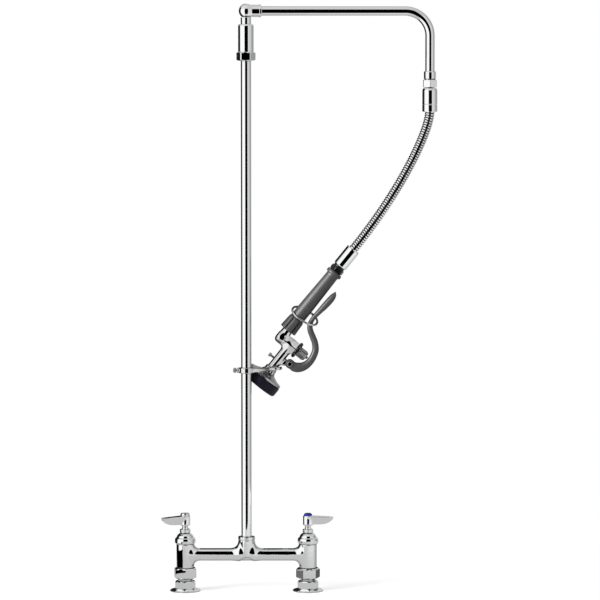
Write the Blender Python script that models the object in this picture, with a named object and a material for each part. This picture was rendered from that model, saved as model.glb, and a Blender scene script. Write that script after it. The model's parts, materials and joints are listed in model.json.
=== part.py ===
"""Pre-rinse faucet: deck-mounted mixing faucet, tall riser, swinging arm, hose and spray valve.

Frame: metres. +Z up, +X towards the arm's outlet, -Y towards the user. Z = 0 is the deck,
where both inlet flanges rest. The origin lies under the centre of the whole faucet's box.
Inside the model everything is laid out from the riser's foot, at the empty "riser_axis".
"""
import math

import bmesh
import bpy
from mathutils import Matrix, Vector

# ---- driving dimensions, in metres ----
CENTRES = 0.2032            # between the two inlets: the standard 8 inches
FLANGE_R = 0.0254
COLUMN_R = 0.0146
TUBE_R = 0.0103             # cross tube of the mixing body
TUBE_Z = 0.0616
BODY_TOP = 0.0785
HUB_TOP = 0.0910            # centre hub that takes the riser
RISER_R = 0.008575          # 3/8 inch pipe
RISER_TOP = 0.8830
ARM_Z = 0.9575
ARM_R = 0.0078
ARM_BEND = 0.0410
OUTLET_X = 0.3025           # outlet, from the riser's axis
PLANE_Y = 0.0370            # the hose and spray valve hang in this plane, behind the riser
HANDLE_REACH = 0.0423
LEFT_HANDLE_TURN = 25.0     # degrees, towards the user
BLADE_TIP = 0.0016          # half width of the blade's tip
OUTLET_NUT = 0.0110         # half the flats of the nut at the outlet
SLEEVE_R = 0.0125           # hose sleeve under that nut
HOSE_R = 0.0081
HOSE_TOP = 0.7921
HOSE_FOOT = 0.1728          # hose's lower end, up the spray valve's grip
HOSE_DROP = 0.0300          # how far the hose's curve keeps its direction at the top
HOSE_RISE = 0.1300          # and at the foot
VALVE_TILT = 39.0           # degrees from upright
VALVE_O = Vector((0.0681, PLANE_Y, 0.4303))   # foot of the grip
HEAD_R = 0.0322
NOSE_X = 0.0188             # nose axis, off the grip's axis, in the valve's own frame
BARREL_Z = -0.0160          # barrel axis, below the grip's foot
PIVOT = (0.0378, -0.0414)   # lever pivot in the valve's own frame (x, z)
PEG_Z = -0.0500
HOOK_Z = 0.3672
GAP = 0.0003                # running gap between neighbours
HOSE_JOINTS = 6

HALF = CENTRES / 2
ARM_TURN = math.atan2(PLANE_Y, OUTLET_X)
ARM_REACH = math.hypot(PLANE_Y, OUTLET_X)
TURN = math.radians(LEFT_HANDLE_TURN)
LEFT_TIP = HALF + HANDLE_REACH * math.cos(TURN) + BLADE_TIP * math.sin(TURN)
RIGHT_END = OUTLET_X + OUTLET_NUT / math.cos(math.pi / 6)
RISER_X = -(RIGHT_END - LEFT_TIP) / 2
RISER_Y = -(PLANE_Y + HEAD_R - FLANGE_R) / 2

ROUND = 16                  # sides of an ordinary round piece
SMALL = 12                  # sides of a small or six-sided piece
OFF_STEP = 0.13             # turn of a cutter, so that its edges miss its neighbour's edges
# corners of a bar's section, as shares of its half thickness and half width
BAR = [(1, 0.45), (0.45, 1), (-0.45, 1), (-1, 0.45), (-1, -0.45), (-0.45, -1), (0.45, -1), (1, -0.45)]


# ---- mesh helpers ----
def radius_at(r, i, sides, kind):
    """Radius of a section at step i: round, "hex" (r is half its flats) or "flute" (grooved)."""
    if kind == "hex":
        off = (math.tau * i / sides) % math.radians(60) - math.radians(30)
        return r / math.cos(off)
    if kind == "flute" and i % 2:
        return r * 0.86
    return r


def turned(outline, sides=ROUND, phase=0.0):
    """Solid of revolution about Z from (r, z) or (r, z, kind) points.

    An outline that starts and ends on the axis is solid, and any other is a ring.
    """
    bm = bmesh.new()
    rings = []
    for r, z, *kind in [point for point in outline if point[0] > 0]:
        ring = []
        for i in range(sides):
            a = math.tau * i / sides + phase
            rr = radius_at(r, i, sides, kind[0] if kind else None)
            ring.append(bm.verts.new((rr * math.cos(a), rr * math.sin(a), z)))
        rings.append(ring)
    for low, high in zip(rings, rings[1:]):
        bridge(bm, low, high)
    if outline[0][0] > 0:
        bridge(bm, rings[-1], rings[0])
    else:
        close_end(bm, rings[0], outline[0][1])
        close_end(bm, rings[-1], outline[-1][1])
    bmesh.ops.recalc_face_normals(bm, faces=bm.faces)
    return bm


def close_end(bm, ring, z):
    """Flat cap where the outline meets the axis level with its ring, else a point."""
    if abs(ring[0].co.z - z) < 1e-7:
        bm.faces.new(ring)
        return
    pole = bm.verts.new((0, 0, z))
    bridge(bm, ring, [pole] * len(ring))


def bored(outline, sides=SMALL):
    """A turned cutter, a little out of step with the piece it cuts."""
    return turned(outline, sides, OFF_STEP)


def bridge(bm, low, high):
    """Faces between two rings of equal count; a ring may be one repeated pole vertex."""
    count = len(low)
    for i in range(count):
        j = (i + 1) % count
        corners = []
        for v in (low[i], low[j], high[j], high[i]):
            if v not in corners:
                corners.append(v)
        if len(corners) > 2:
            bm.faces.new(corners)


def swept(path, r_out, r_in=0.0, sides=16, closed=False):
    """Round tube (or bar, with r_in 0) along a list of points; its ends are flat."""
    bm = bmesh.new()
    frames = path_frames(path, closed)
    rings_out = [ring_at(bm, f, r_out, sides) for f in frames]
    spans = len(frames) if closed else len(frames) - 1
    for k in range(spans):
        bridge(bm, rings_out[k], rings_out[(k + 1) % len(frames)])
    if not closed and r_in > 0:
        rings_in = [ring_at(bm, f, r_in, sides) for f in frames]
        for k in range(spans):
            bridge(bm, rings_in[k + 1], rings_in[k])
        bridge(bm, rings_in[0], rings_out[0])
        bridge(bm, rings_out[-1], rings_in[-1])
    elif not closed:
        bm.faces.new(rings_out[0])
        bm.faces.new(rings_out[-1])
    bmesh.ops.recalc_face_normals(bm, faces=bm.faces)
    return bm


def path_frames(path, closed):
    """(point, side, up) at each path point, carried along with no twist."""
    pts = [Vector(p) for p in path]
    n = len(pts)
    tangents = []
    for i in range(n):
        a = pts[(i - 1) % n] if closed or i > 0 else pts[i]
        b = pts[(i + 1) % n] if closed or i < n - 1 else pts[i]
        tangents.append((b - a).normalized())
    side = tangents[0].orthogonal().normalized()
    frames = []
    for p, t in zip(pts, tangents):
        side = (side - t * side.dot(t)).normalized()
        frames.append((p, side, t.cross(side)))
    return frames


def ring_at(bm, frame, r, sides):
    """Ring of vertices round one path frame."""
    p, side, up = frame
    ring = []
    for i in range(sides):
        a = math.tau * i / sides
        ring.append(bm.verts.new(p + side * (r * math.cos(a)) + up * (r * math.sin(a))))
    return ring


def plate(outline, y_half):
    """Flat outline of (x, z) points, thick from -y_half to +y_half."""
    bm = bmesh.new()
    front = [bm.verts.new((x, -y_half, z)) for x, z in outline]
    back = [bm.verts.new((x, y_half, z)) for x, z in outline]
    bm.faces.new(front)
    bm.faces.new(back)
    bridge(bm, front, back)
    bmesh.ops.recalc_face_normals(bm, faces=bm.faces)
    return bm


def lofted(sections):
    """Solid through a list of equal-count closed sections."""
    bm = bmesh.new()
    rings = [[bm.verts.new(p) for p in section] for section in sections]
    for low, high in zip(rings, rings[1:]):
        bridge(bm, low, high)
    bm.faces.new(rings[0])
    bm.faces.new(rings[-1])
    bmesh.ops.recalc_face_normals(bm, faces=bm.faces)
    return bm


def moved(bm, matrix):
    """The same mesh, placed by a matrix."""
    bmesh.ops.transform(bm, matrix=matrix, verts=bm.verts)
    return bm


def along_x(x=0.0, z=0.0):
    """Matrix that lays a turned piece's Z axis along +X, its foot at (x, 0, z)."""
    return Matrix.Translation((x, 0, z)) @ Matrix.Rotation(math.pi / 2, 4, "Y")


def along_y(x=0.0, z=0.0):
    """Matrix that lays a turned piece's Z axis along +Y, its foot at (x, 0, z)."""
    return Matrix.Translation((x, 0, z)) @ Matrix.Rotation(-math.pi / 2, 4, "X")


def narrowed(bm, y_most):
    """Flatten a turned piece's wide rings into ellipses no deeper than y_most."""
    for v in bm.verts:
        r = math.hypot(v.co.x, v.co.y)
        if r > y_most:
            v.co.y *= y_most / r
    return bm


def at(x=0.0, y=0.0, z=0.0):
    """Matrix that only moves."""
    return Matrix.Translation((x, y, z))


# ---- objects ----
def clear_scene():
    """Start from an empty scene."""
    for obj in list(bpy.data.objects):
        bpy.data.objects.remove(obj, do_unlink=True)


def finish_material(name, color, roughness, metallic):
    """Principled material."""
    mat = bpy.data.materials.new(name)
    mat.use_nodes = True
    shader = mat.node_tree.nodes["Principled BSDF"]
    shader.inputs["Base Color"].default_value = (*color, 1.0)
    shader.inputs["Roughness"].default_value = roughness
    shader.inputs["Metallic"].default_value = metallic
    return mat


def materials():
    """The faucet's finishes."""
    return {
        "chrome": finish_material("chrome", (0.86, 0.87, 0.88), 0.06, 1.0),
        "steel": finish_material("steel", (0.62, 0.62, 0.62), 0.28, 1.0),
        "brass": finish_material("brass", (0.78, 0.60, 0.30), 0.30, 1.0),
        "grip": finish_material("grip", (0.13, 0.13, 0.135), 0.48, 0.0),
        "black": finish_material("black", (0.02, 0.02, 0.02), 0.50, 0.0),
        "rubber": finish_material("rubber", (0.03, 0.025, 0.035), 0.60, 0.0),
        "blue": finish_material("blue", (0.02, 0.09, 0.50), 0.30, 0.0),
        "red": finish_material("red", (0.50, 0.02, 0.02), 0.30, 0.0),
    }


def empty(name, parent=None, matrix=None):
    """An axis marker; it isn't a piece."""
    obj = bpy.data.objects.new(name, None)
    bpy.context.scene.collection.objects.link(obj)
    obj.parent = parent
    obj.matrix_local = matrix or Matrix.Identity(4)
    return obj


def piece(name, bm, mat, parent):
    """One named solid under its empty."""
    mesh = bpy.data.meshes.new(name)
    bm.to_mesh(mesh)
    bm.free()
    mesh.shade_smooth()
    mesh.set_sharp_from_angle(angle=math.radians(35))
    mesh.materials.append(mat)
    obj = bpy.data.objects.new(name, mesh)
    bpy.context.scene.collection.objects.link(obj)
    obj.parent = parent
    return obj


def joined(name, meshes, cutters, mat, parent):
    """One solid from several: later meshes are added to the first, then cutters taken away."""
    main = piece(name, meshes[0], mat, parent)
    for k, bm in enumerate(meshes[1:]):
        boolean(main, piece(f"{name}_add_{k}", bm, mat, parent), "UNION")
    for k, bm in enumerate(cutters):
        boolean(main, piece(f"{name}_cut_{k}", bm, mat, parent), "DIFFERENCE")
    return main


def boolean(main, tool, operation):
    """Exact Boolean with a hidden tool."""
    tool.hide_render = True
    tool.display_type = "WIRE"
    mod = main.modifiers.new(tool.name, "BOOLEAN")
    mod.operation = operation
    mod.solver = "EXACT"
    mod.object = tool


# ---- deck end: inlets, body, valves, handles ----
def inlet(side, mats, parent):
    """Deck flange with its hexagon and tail, the union nut over it and the union's gasket."""
    flange = [(0.0080, 0), (FLANGE_R, 0), (FLANGE_R, 0.0028), (0.0175, 0.0046)]
    hexagon = [(0.0160, 0.0050, "hex"), (0.0160, 0.0168, "hex")]
    tail = [(0.0123, 0.0172), (0.0123, 0.0262), (0.0150, 0.0262), (0.0150, 0.0300), (0.0080, 0.0300)]
    piece(f"inlet_flange_{side}", turned(flange + hexagon + tail, 24), mats["chrome"], parent)
    nut = [(0.0131, 0.0213), (0.0175, 0.0220, "hex"), (0.0175, 0.0382, "hex"), (0.0162, 0.0388),
           (0.0162, 0.0257), (0.0131, 0.0257)]
    turn = math.radians(-96 if side == "left" else -80)
    piece(f"coupling_nut_{side}", turned(nut, SMALL, turn), mats["chrome"], parent)
    gasket = [(0.0095, 0.0303), (0.0148, 0.0303), (0.0148, 0.0323), (0.0095, 0.0323)]
    piece(f"inlet_gasket_{side}", turned(gasket, SMALL), mats["rubber"], parent)


def body_column(x):
    """Outside of one valve column, with its threaded foot."""
    outline = [(0, 0.0326), (0.0152, 0.0326), (0.0152, 0.0391), (COLUMN_R, 0.0394), (0.0152, 0.0720),
               (0.0158, BODY_TOP), (0, BODY_TOP)]
    return moved(turned(outline), at(x))


def column_bore(x):
    """Inlet bore below and valve chamber above, in one cutter."""
    outline = [(0, 0.0300), (0.0087, 0.0300), (0.0087, 0.0520),
               (0.0112, 0.0520), (0.0112, 0.0900), (0, 0.0900)]
    return moved(bored(outline), at(x))


def mixing_body(mats, parent):
    """Cast body: two columns, the tube between them and the riser's hub, all hollow."""
    reach = HALF - 0.0040
    outline = [(0, -reach), (TUBE_R + 0.0035, -reach), (TUBE_R + 0.0030, -reach + 0.0100),
               (TUBE_R, -reach + 0.0240)]
    outline += [(r, -z) for r, z in reversed(outline)]
    tube = moved(turned(outline, ROUND, 0.07), along_x(z=TUBE_Z))
    hub = [(0, 0.0545), (0.0150, 0.0560), (0.0230, 0.0625), (0.0178, 0.0690), (0.0142, 0.0770),
           (0.0130, 0.0860), (0.0140, 0.0868), (0.0138, HUB_TOP), (0, HUB_TOP)]
    passage = bored([(0, -HALF), (0.0068, -HALF), (0.0068, HALF), (0, HALF)], 10)
    passage = moved(passage, along_x(z=TUBE_Z))
    socket = bored([(0, 0.0608), (0.0061, 0.0608), (0.0061, 0.0800), (0.0092, 0.0800), (0.0092, 0.0950),
                    (0, 0.0950)])
    joined("mixing_body", [tube, body_column(-HALF), body_column(HALF), narrowed(turned(hub), 0.0130)],
           [column_bore(-HALF), column_bore(HALF), passage, socket], mats["chrome"], parent)


def valve(side, mats, axis, stem_axis):
    """Seat, bonnet and packing nut on the body; the plunger that opens and closes."""
    seat = [(0.0050, 0.0480), (0.0082, 0.0480), (0.0082, 0.0523), (0.0105, 0.0523), (0.0105, 0.0545),
            (0.0050, 0.0548)]
    piece(f"valve_seat_{side}", turned(seat, SMALL), mats["brass"], axis)
    bonnet = [(0.0090, 0.0715), (0.0106, 0.0715), (0.0106, 0.0788), (0.0168, 0.0788), (0.0172, 0.0835),
              (0.0155, 0.0888), (0.0115, 0.0920), (0.0074, 0.0970), (0.0056, 0.0970), (0.0056, 0.0885),
              (0.0090, 0.0840)]
    piece(f"bonnet_{side}", turned(bonnet), mats["chrome"], axis)
    packing = [(0.0056, 0.0973), (0.0090, 0.0973), (0.0090, 0.1033), (0.0056, 0.1033)]
    piece(f"packing_nut_{side}", turned(packing, SMALL), mats["chrome"], axis)
    plunger = [(0, 0.0600), (0.0020, 0.0600), (0.0020, 0.0575), (0.0076, 0.0575), (0.0076, 0.0610),
               (0.0034, 0.0622), (0.0034, 0.0700), (0, 0.0700)]
    piece(f"plunger_{side}", turned(plunger, SMALL), mats["brass"], stem_axis)
    washer = [(0, 0.0551), (0.0072, 0.0551), (0.0072, 0.0572),
              (0.0017, 0.0572), (0.0017, 0.0597), (0, 0.0597)]
    piece(f"seat_washer_{side}", turned(washer, SMALL), mats["rubber"], stem_axis)


def blade_section(x):
    """Section of the handle's blade at x: flat on top, rounded below, pointed towards its tip."""
    t = x / HANDLE_REACH
    top = 0.1255 - 0.0016 * t
    depth = 0.0030 + 0.0125 * (1 - t ** 2.6)
    half = BLADE_TIP + 0.0064 * math.sqrt(max(0.0, 1 - t ** 3))
    shoulder = top - depth * 0.45
    return [(x, half, top), (x, half * 0.9, shoulder), (x, 0.0, top - depth), (x, -half * 0.9, shoulder),
            (x, -half, top)]


def handle(side, mats, axis):
    """Spindle, lever handle and index cap, all on the valve's own axis. The blade points to +X."""
    spindle = [(0, 0.0735), (0.0038, 0.0735), (0.0038, 0.0660), (0.0072, 0.0660), (0.0072, 0.0780),
               (0.0052, 0.0790), (0.0052, 0.1180), (0, 0.1180)]
    piece(f"spindle_{side}", turned(spindle, SMALL), mats["brass"], axis)
    hub = [(0, 0.1094), (0.0083, 0.1098), (0.0083, 0.1240), (0.0076, 0.1258), (0, 0.1258)]
    blade = lofted([blade_section(x) for x in (0.0012, 0.0160, 0.0270, 0.0350, HANDLE_REACH)])
    bore = bored([(0, 0.1050), (0.0056, 0.1050), (0.0056, 0.1190), (0, 0.1190)])
    joined(f"lever_handle_{side}", [turned(hub), blade], [bore], mats["chrome"], axis)
    cap = [(0, 0.1261), (0.0066, 0.1261), (0.0066, 0.1284), (0.0040, 0.1299), (0, 0.1302)]
    piece(f"index_cap_{side}", turned(cap, SMALL), mats["red" if side == "left" else "blue"], axis)


# ---- riser, swivel and arm ----
def riser(mats, parent):
    """Riser pipe with the swivel's hexagon and sleeve on top."""
    pipe = [(0.0063, 0.0805), (RISER_R, 0.0805), (RISER_R, RISER_TOP), (0.0063, RISER_TOP)]
    piece("riser_pipe", turned(pipe), mats["chrome"], parent)
    nut = [(0.0092, 0.8764), (0.0139, 0.8770, "hex"), (0.0139, 0.8900, "hex"), (0.0120, 0.8906),
           (0.0063, 0.8906), (0.0063, 0.8834), (0.0092, 0.8834)]
    piece("swivel_nut", turned(nut, SMALL, math.radians(27)), mats["chrome"], parent)
    sleeve = [(0.0070, 0.8909), (0.0129, 0.8909), (0.0129, 0.9335), (0.0118, 0.9358), (0.0090, 0.9358),
              (0.0090, 0.8935), (0.0070, 0.8935)]
    piece("swivel_sleeve", turned(sleeve), mats["chrome"], parent)


def swivel_arm(mats, axis):
    """Stem with its O-rings, ball elbow, bent tube and outlet collar; the arm runs along +X."""
    stem = [(0.0050, 0.8938), (0.0086, 0.8938)]
    for z in (0.9000, 0.9150):
        stem += [(0.0086, z), (0.0072, z), (0.0072, z + 0.0030), (0.0086, z + 0.0030)]
    piece("swivel_stem", turned(stem + [(0.0086, 0.9470), (0.0050, 0.9470)]), mats["chrome"], axis)
    for name, z in (("lower", 0.9015), ("upper", 0.9165)):
        ring = [(0.0075, z), (0.0081, z - 0.0010), (0.0087, z), (0.0081, z + 0.0010)]
        piece(f"swivel_o_ring_{name}", turned(ring, SMALL), mats["rubber"], axis)
    ball_r = 0.01175
    ball = [(ball_r * math.sin(a), ARM_Z - ball_r * math.cos(a)) for a in arc(0, math.pi, 8)]
    ball[0], ball[-1] = (0, ARM_Z - ball_r), (0, ARM_Z + ball_r)
    socket = moved(turned([(0, 0.0020), (0.0100, 0.0020), (0.0100, 0.0250), (0, 0.0250)], ROUND, 0.07),
                   along_x(z=ARM_Z))
    low = bored([(0, 0.9440), (0.0093, 0.9440), (0.0093, 0.9473),
                 (0.0050, 0.9473), (0.0050, 0.9590), (0, 0.9590)])
    side = moved(bored([(0, -0.0030), (0.0047, -0.0030), (0.0047, 0.0135), (0.0084, 0.0135), (0.0084, 0.0300),
                        (0, 0.0300)]), along_x(z=ARM_Z))
    joined("ball_elbow", [turned(ball), socket], [low, side], mats["chrome"], axis)
    piece("arm_tube", swept(arm_path(), ARM_R, 0.0064, SMALL), mats["chrome"], axis)
    collar = [(0.0055, 0.8332), (0.0076, 0.8332), (0.0076, 0.8458), (0.0100, 0.8458), (0.0100, 0.8585),
              (0.0081, 0.8585), (0.0081, 0.8480), (0.0055, 0.8480)]
    piece("arm_outlet_collar", moved(turned(collar), at(ARM_REACH)), mats["chrome"], axis)


def arc(start, end, count):
    """Evenly spaced angles, both ends included."""
    return [start + (end - start) * i / (count - 1) for i in range(count)]


def arm_path():
    """Centre line of the arm: out from the elbow, round the bend and down into the collar."""
    path = [(0.0140, 0, ARM_Z)]
    cx, cz = ARM_REACH - ARM_BEND, ARM_Z - ARM_BEND
    for a in arc(math.pi / 2, 0, 7):
        path.append((cx + ARM_BEND * math.cos(a), 0, cz + ARM_BEND * math.sin(a)))
    path.append((ARM_REACH, 0, 0.8485))
    return path


# ---- hose ----
def hose_curve():
    """Bezier points of the hose's centre line, from the top sleeve to the spray valve's sleeve."""
    tilt = math.radians(VALVE_TILT)
    along = Vector((math.sin(tilt), 0, math.cos(tilt)))
    top = Vector((OUTLET_X, PLANE_Y, HOSE_TOP))
    foot = VALVE_O + along * HOSE_FOOT
    return top, top - Vector((0, 0, HOSE_DROP)), foot + along * HOSE_RISE, foot


def hose_point(t):
    """Point on the hose's centre line."""
    a, b, c, d = hose_curve()
    s = 1 - t
    return a * s ** 3 + b * (3 * s * s * t) + c * (3 * s * t * t) + d * t ** 3


def hose_params():
    """Bezier parameters of the joints: the hose's ends, and equal lengths of hose between."""
    steps = 400
    lengths = [0.0]
    for i in range(steps):
        lengths.append(lengths[-1] + (hose_point((i + 1) / steps) - hose_point(i / steps)).length)
    end = 0.0200
    span = (lengths[-1] - 2 * end) / (HOSE_JOINTS - 1)
    wanted = [end + span * k for k in range(HOSE_JOINTS)]
    return [next(i for i, s in enumerate(lengths) if s >= w) / steps for w in wanted]


def hose_piece(t0, t1):
    """Centre line of one length of hose, clear of the joints at its ends."""
    a, b = hose_point(t0), hose_point(t1)
    margin = 0.0011 / (b - a).length
    return [hose_point(t0 + (t1 - t0) * (margin + (1 - 2 * margin) * k / 2)) for k in range(3)]


def hose(mats, top_axis, links, valve_parent):
    """Swivel nut, washer and sleeve on the arm, then the lengths of hose."""
    nut = [(0.0082, 0.8320), (OUTLET_NUT, 0.8325, "hex"), (OUTLET_NUT, 0.8445, "hex"), (0.0082, 0.8450)]
    piece("outlet_swivel_nut", turned(nut, SMALL), mats["chrome"], top_axis)
    washer = [(0.0056, 0.8310), (0.0074, 0.8310), (0.0074, 0.8328), (0.0056, 0.8328)]
    piece("hose_washer", turned(washer, SMALL), mats["rubber"], top_axis)
    sleeve = [(0.0085, HOSE_TOP), (SLEEVE_R, HOSE_TOP), (SLEEVE_R, 0.8260), (0.0105, 0.8306),
              (0.0050, 0.8306), (0.0050, 0.8040), (0.0085, 0.8040)]
    piece("hose_sleeve_top", turned(sleeve), mats["chrome"], top_axis)
    params = hose_params()
    first = [Vector((OUTLET_X, PLANE_Y, HOSE_TOP + 0.0100))] + hose_piece(0.0, params[0])
    place_hose("hose_segment_1", first, mats, top_axis)
    for k, link in enumerate(links):
        place_hose(f"hose_segment_{k + 2}", hose_piece(params[k], params[k + 1]), mats, link)
    tilt = math.radians(VALVE_TILT)
    inside = hose_point(1.0) - Vector((math.sin(tilt), 0, math.cos(tilt))) * 0.0100
    last = hose_piece(params[-1], 1.0) + [inside]
    place_hose(f"hose_segment_{len(links) + 2}", last, mats, valve_parent)


def place_hose(name, path, mats, parent):
    """A hollow length of hose under its own joint's empty."""
    inverse = parent.matrix_world.inverted() @ riser_matrix()
    piece(name, moved(swept(path, HOSE_R, 0.0045, SMALL), inverse), mats["steel"], parent)


def riser_matrix():
    """World place of the riser's foot."""
    return at(RISER_X, RISER_Y, 0)


# ---- spray valve, in its own frame: +Z up the grip, +X towards the bonnet ----
def grip(mats, parent):
    """Hose sleeve, end nut, grip with its fluted foot and the steel tube inside it."""
    sleeve = [(0.0050, 0.1372), (0.0117, 0.1375), (0.0117, HOSE_FOOT),
              (0.0085, HOSE_FOOT), (0.0085, 0.1600), (0.0050, 0.1600)]
    piece("hose_sleeve_bottom", turned(sleeve), mats["chrome"], parent)
    nut = [(0.0074, 0.1255), (0.0108, 0.1258, "hex"), (0.0108, 0.1335, "hex"),
           (0.0098, 0.1369), (0.0074, 0.1369)]
    piece("hose_end_nut", turned(nut, SMALL), mats["black"], parent)
    foot = [(0.0072, 0.0), (0.0149, 0.0, "flute"), (0.0135, 0.0235, "flute"), (0.0121, 0.0255)]
    bead = [(0.0105, 0.1175), (0.0138, 0.1192), (0.0138, 0.1240), (0.0120, 0.1250), (0.0072, 0.1250)]
    piece("grip", turned(foot + bead), mats["grip"], parent)
    tube = [(0.0050, -0.0045), (0.0069, -0.0045), (0.0069, 0.1366), (0.0050, 0.1366)]
    piece("grip_tube", turned(tube, SMALL), mats["steel"], parent)


def spray_body(mats, parent):
    """Body: hexagonal barrel along +X, neck up to the grip, nose down and the lever's lug."""
    z, r = BARREL_Z, 0.0103
    barrel = [(0, -0.0095), (0.0062, -0.0095), (r, -0.0055), (r, 0.0040),
              (r, 0.0048, "hex"), (r, 0.0300, "hex"),
              (0, 0.0300)]
    neck = [(0, -0.0120), (0.0090, -0.0120), (0.0090, -0.0030), (0.0082, -0.0003), (0, -0.0003)]
    neck = turned(neck, SMALL, 0.05)
    nose = turned([(0, -0.0655), (0.0080, -0.0655), (0.0085, -0.0485), (0.0085, z), (0, z)], ROUND, 0.09)
    pivot = bored([(0, -0.0100), (0.0028, -0.0100), (0.0028, 0.0100), (0, 0.0100)], 8)
    pivot = moved(pivot, along_y(*PIVOT))
    peg = moved(bored([(0, -0.0010), (0.0019, -0.0010), (0.0019, 0.0050), (0, 0.0050)], 8),
                along_x(NOSE_X - 0.0100, PEG_Z))
    chamber = moved(bored([(0, 0.0030), (0.0069, 0.0030), (0.0069, 0.0320), (0, 0.0320)]), along_x(z=z))
    inlet_bore = bored([(0, z), (0.0046, z), (0.0046, -0.0048),
                        (0.0072, -0.0048), (0.0072, 0.0020), (0, 0.0020)])
    outlet_bore = moved(bored([(0, -0.0700), (0.0055, -0.0700), (0.0055, z), (0, z)], 10), at(NOSE_X))
    joined("spray_valve_body", [moved(turned(barrel, SMALL), along_x(z=z)), neck, moved(nose, at(NOSE_X)),
                                plate(lug_outline(), 0.0040)],
           [chamber, inlet_bore, outlet_bore, pivot, peg], mats["chrome"], parent)


def lug_outline():
    """Side view of the lug that carries the lever's pivot."""
    x, z = PIVOT
    tip = [(x + 0.0050 * math.cos(a), z + 0.0050 * math.sin(a)) for a in arc(-math.pi / 2, math.pi / 2, 6)]
    return [(NOSE_X + 0.0060, z - 0.0070)] + tip + [(NOSE_X + 0.0060, z + 0.0070)]


def valve_inside(mats, parent):
    """Bonnet, spring, lever screw and hanging peg."""
    bonnet = [(0.0052, 0.0180), (0.0066, 0.0180), (0.0066, 0.0303),
              (0.0127, 0.0306, "hex"), (0.0127, 0.0356, "hex"),
              (0.0080, 0.0362), (0.0087, 0.0395), (0.0087, 0.0480), (0.0060, 0.0518), (0.0029, 0.0518),
              (0.0029, 0.0430), (0.0052, 0.0410)]
    piece("valve_bonnet", moved(turned(bonnet, SMALL), along_x(z=BARREL_Z)), mats["chrome"], parent)
    piece("valve_spring", swept(spring_path(), 0.0005, 0.0, 4), mats["steel"], parent)
    screw = [(0, -0.0105), (0.0042, -0.0101), (0.0042, -0.0086), (0.0025, -0.0086), (0.0025, 0.0086),
             (0.0042, 0.0086), (0.0042, 0.0101), (0, 0.0105)]
    piece("lever_screw", moved(turned(screw, 10), along_y(*PIVOT)), mats["chrome"], parent)
    peg = [(0, -0.0080), (0.0032, -0.0076), (0.0032, -0.0052),
           (0.0016, -0.0046), (0.0016, 0.0030), (0, 0.0030)]
    piece("hanging_peg", moved(turned(peg, 10), along_x(NOSE_X - 0.0100, PEG_Z)), mats["chrome"], parent)


def spring_path():
    """Coil round the valve's stem."""
    turns, per_turn, length = 5, 8, 0.0150
    path = []
    for i in range(turns * per_turn + 1):
        a = math.tau * i / per_turn
        x = 0.0195 + length * i / (turns * per_turn)
        path.append((x, 0.0042 * math.cos(a), BARREL_Z + 0.0042 * math.sin(a)))
    return path


def valve_plunger(mats, parent):
    """Stem with its disc, pushed in by the lever."""
    stem = [(0, 0.0060), (0.0046, 0.0060), (0.0046, 0.0090), (0.0024, 0.0094), (0.0024, 0.0367),
            (0.0046, 0.0370), (0.0046, 0.0388), (0.0025, 0.0392), (0.0025, 0.0538), (0, 0.0548)]
    piece("valve_plunger", moved(turned(stem, 10), along_x(z=BARREL_Z)), mats["steel"], parent)


def lever_stations():
    """Along the lever's centre line: (x, z, half thickness, half width)."""
    foot = [(0.0378, -0.0414, 0.0068, 0.0080), (0.0515, -0.0372, 0.0066, 0.0076),
            (0.0585, -0.0290, 0.0058, 0.0066)]
    bend = [(0.0608, -0.0180, 0.0054, 0.0062), (0.0602, -0.0070, 0.0053, 0.0062),
            (0.0560, 0.0035, 0.0052, 0.0062), (0.0480, 0.0115, 0.0050, 0.0060),
            (0.0385, 0.0175, 0.0049, 0.0058), (0.0285, 0.0235, 0.0047, 0.0056),
            (0.0225, 0.0320, 0.0042, 0.0056)]
    pad = [(0.0203, 0.0430, 0.0036, 0.0062), (0.0212, 0.0560, 0.0044, 0.0076),
           (0.0224, 0.0690, 0.0054, 0.0084), (0.0233, 0.0840, 0.0057, 0.0084),
           (0.0230, 0.0930, 0.0042, 0.0070), (0.0222, 0.0985, 0.0014, 0.0040)]
    return foot + bend + pad


def lever_bar():
    """Rounded bar along the lever's stations, in the valve's own frame."""
    stations = lever_stations()
    sections = []
    for k, (x, z, thick, wide) in enumerate(stations):
        before, after = stations[max(k - 1, 0)], stations[min(k + 1, len(stations) - 1)]
        along = Vector((after[0] - before[0], 0, after[1] - before[1])).normalized()
        normal = Vector((along.z, 0, -along.x))
        centre = Vector((x, 0, z))
        sections.append([centre + normal * (thick * a) + Vector((0, wide * b, 0)) for a, b in BAR])
    return lofted(sections)


def squeeze_lever(mats, axis):
    """Lever with a forked foot that straddles the lug; axis is the pivot's empty."""
    px, pz = PIVOT
    bar = moved(lever_bar(), at(-px, 0, -pz))
    boss = turned([(0, -0.0079), (0.0072, -0.0079), (0.0072, 0.0079), (0, 0.0079)], SMALL, 0.05)
    boss = moved(boss, along_y())
    slot = plate([(-0.0120, -0.0120), (0.0085, -0.0120), (0.0085, 0.0120), (-0.0120, 0.0120)], 0.0044)
    hole = moved(bored([(0, -0.0150), (0.0029, -0.0150), (0.0029, 0.0150), (0, 0.0150)], 10), along_y())
    joined("squeeze_lever", [bar, boss], [slot, hole], mats["grip"], axis)


def hold_down_ring(mats, axis):
    """Wire loop round the grip and the lever."""
    half_long, half_wide = 0.0234, 0.0170
    straight = half_long - half_wide
    ends = [(straight + half_wide * math.cos(a), half_wide * math.sin(a), 0)
            for a in arc(-math.pi / 2, math.pi / 2, 9)]
    loop = ends + [(-x, -y, 0) for x, y, z in ends]
    lean = Matrix.Rotation(math.radians(-7.8), 4, "Y") @ Matrix.Rotation(math.radians(28), 4, "X")
    piece("hold_down_ring", moved(swept(loop, 0.0015, 0.0, 6, closed=True), at(0.0071, 0, 0.0363) @ lean),
          mats["chrome"], axis)


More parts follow.
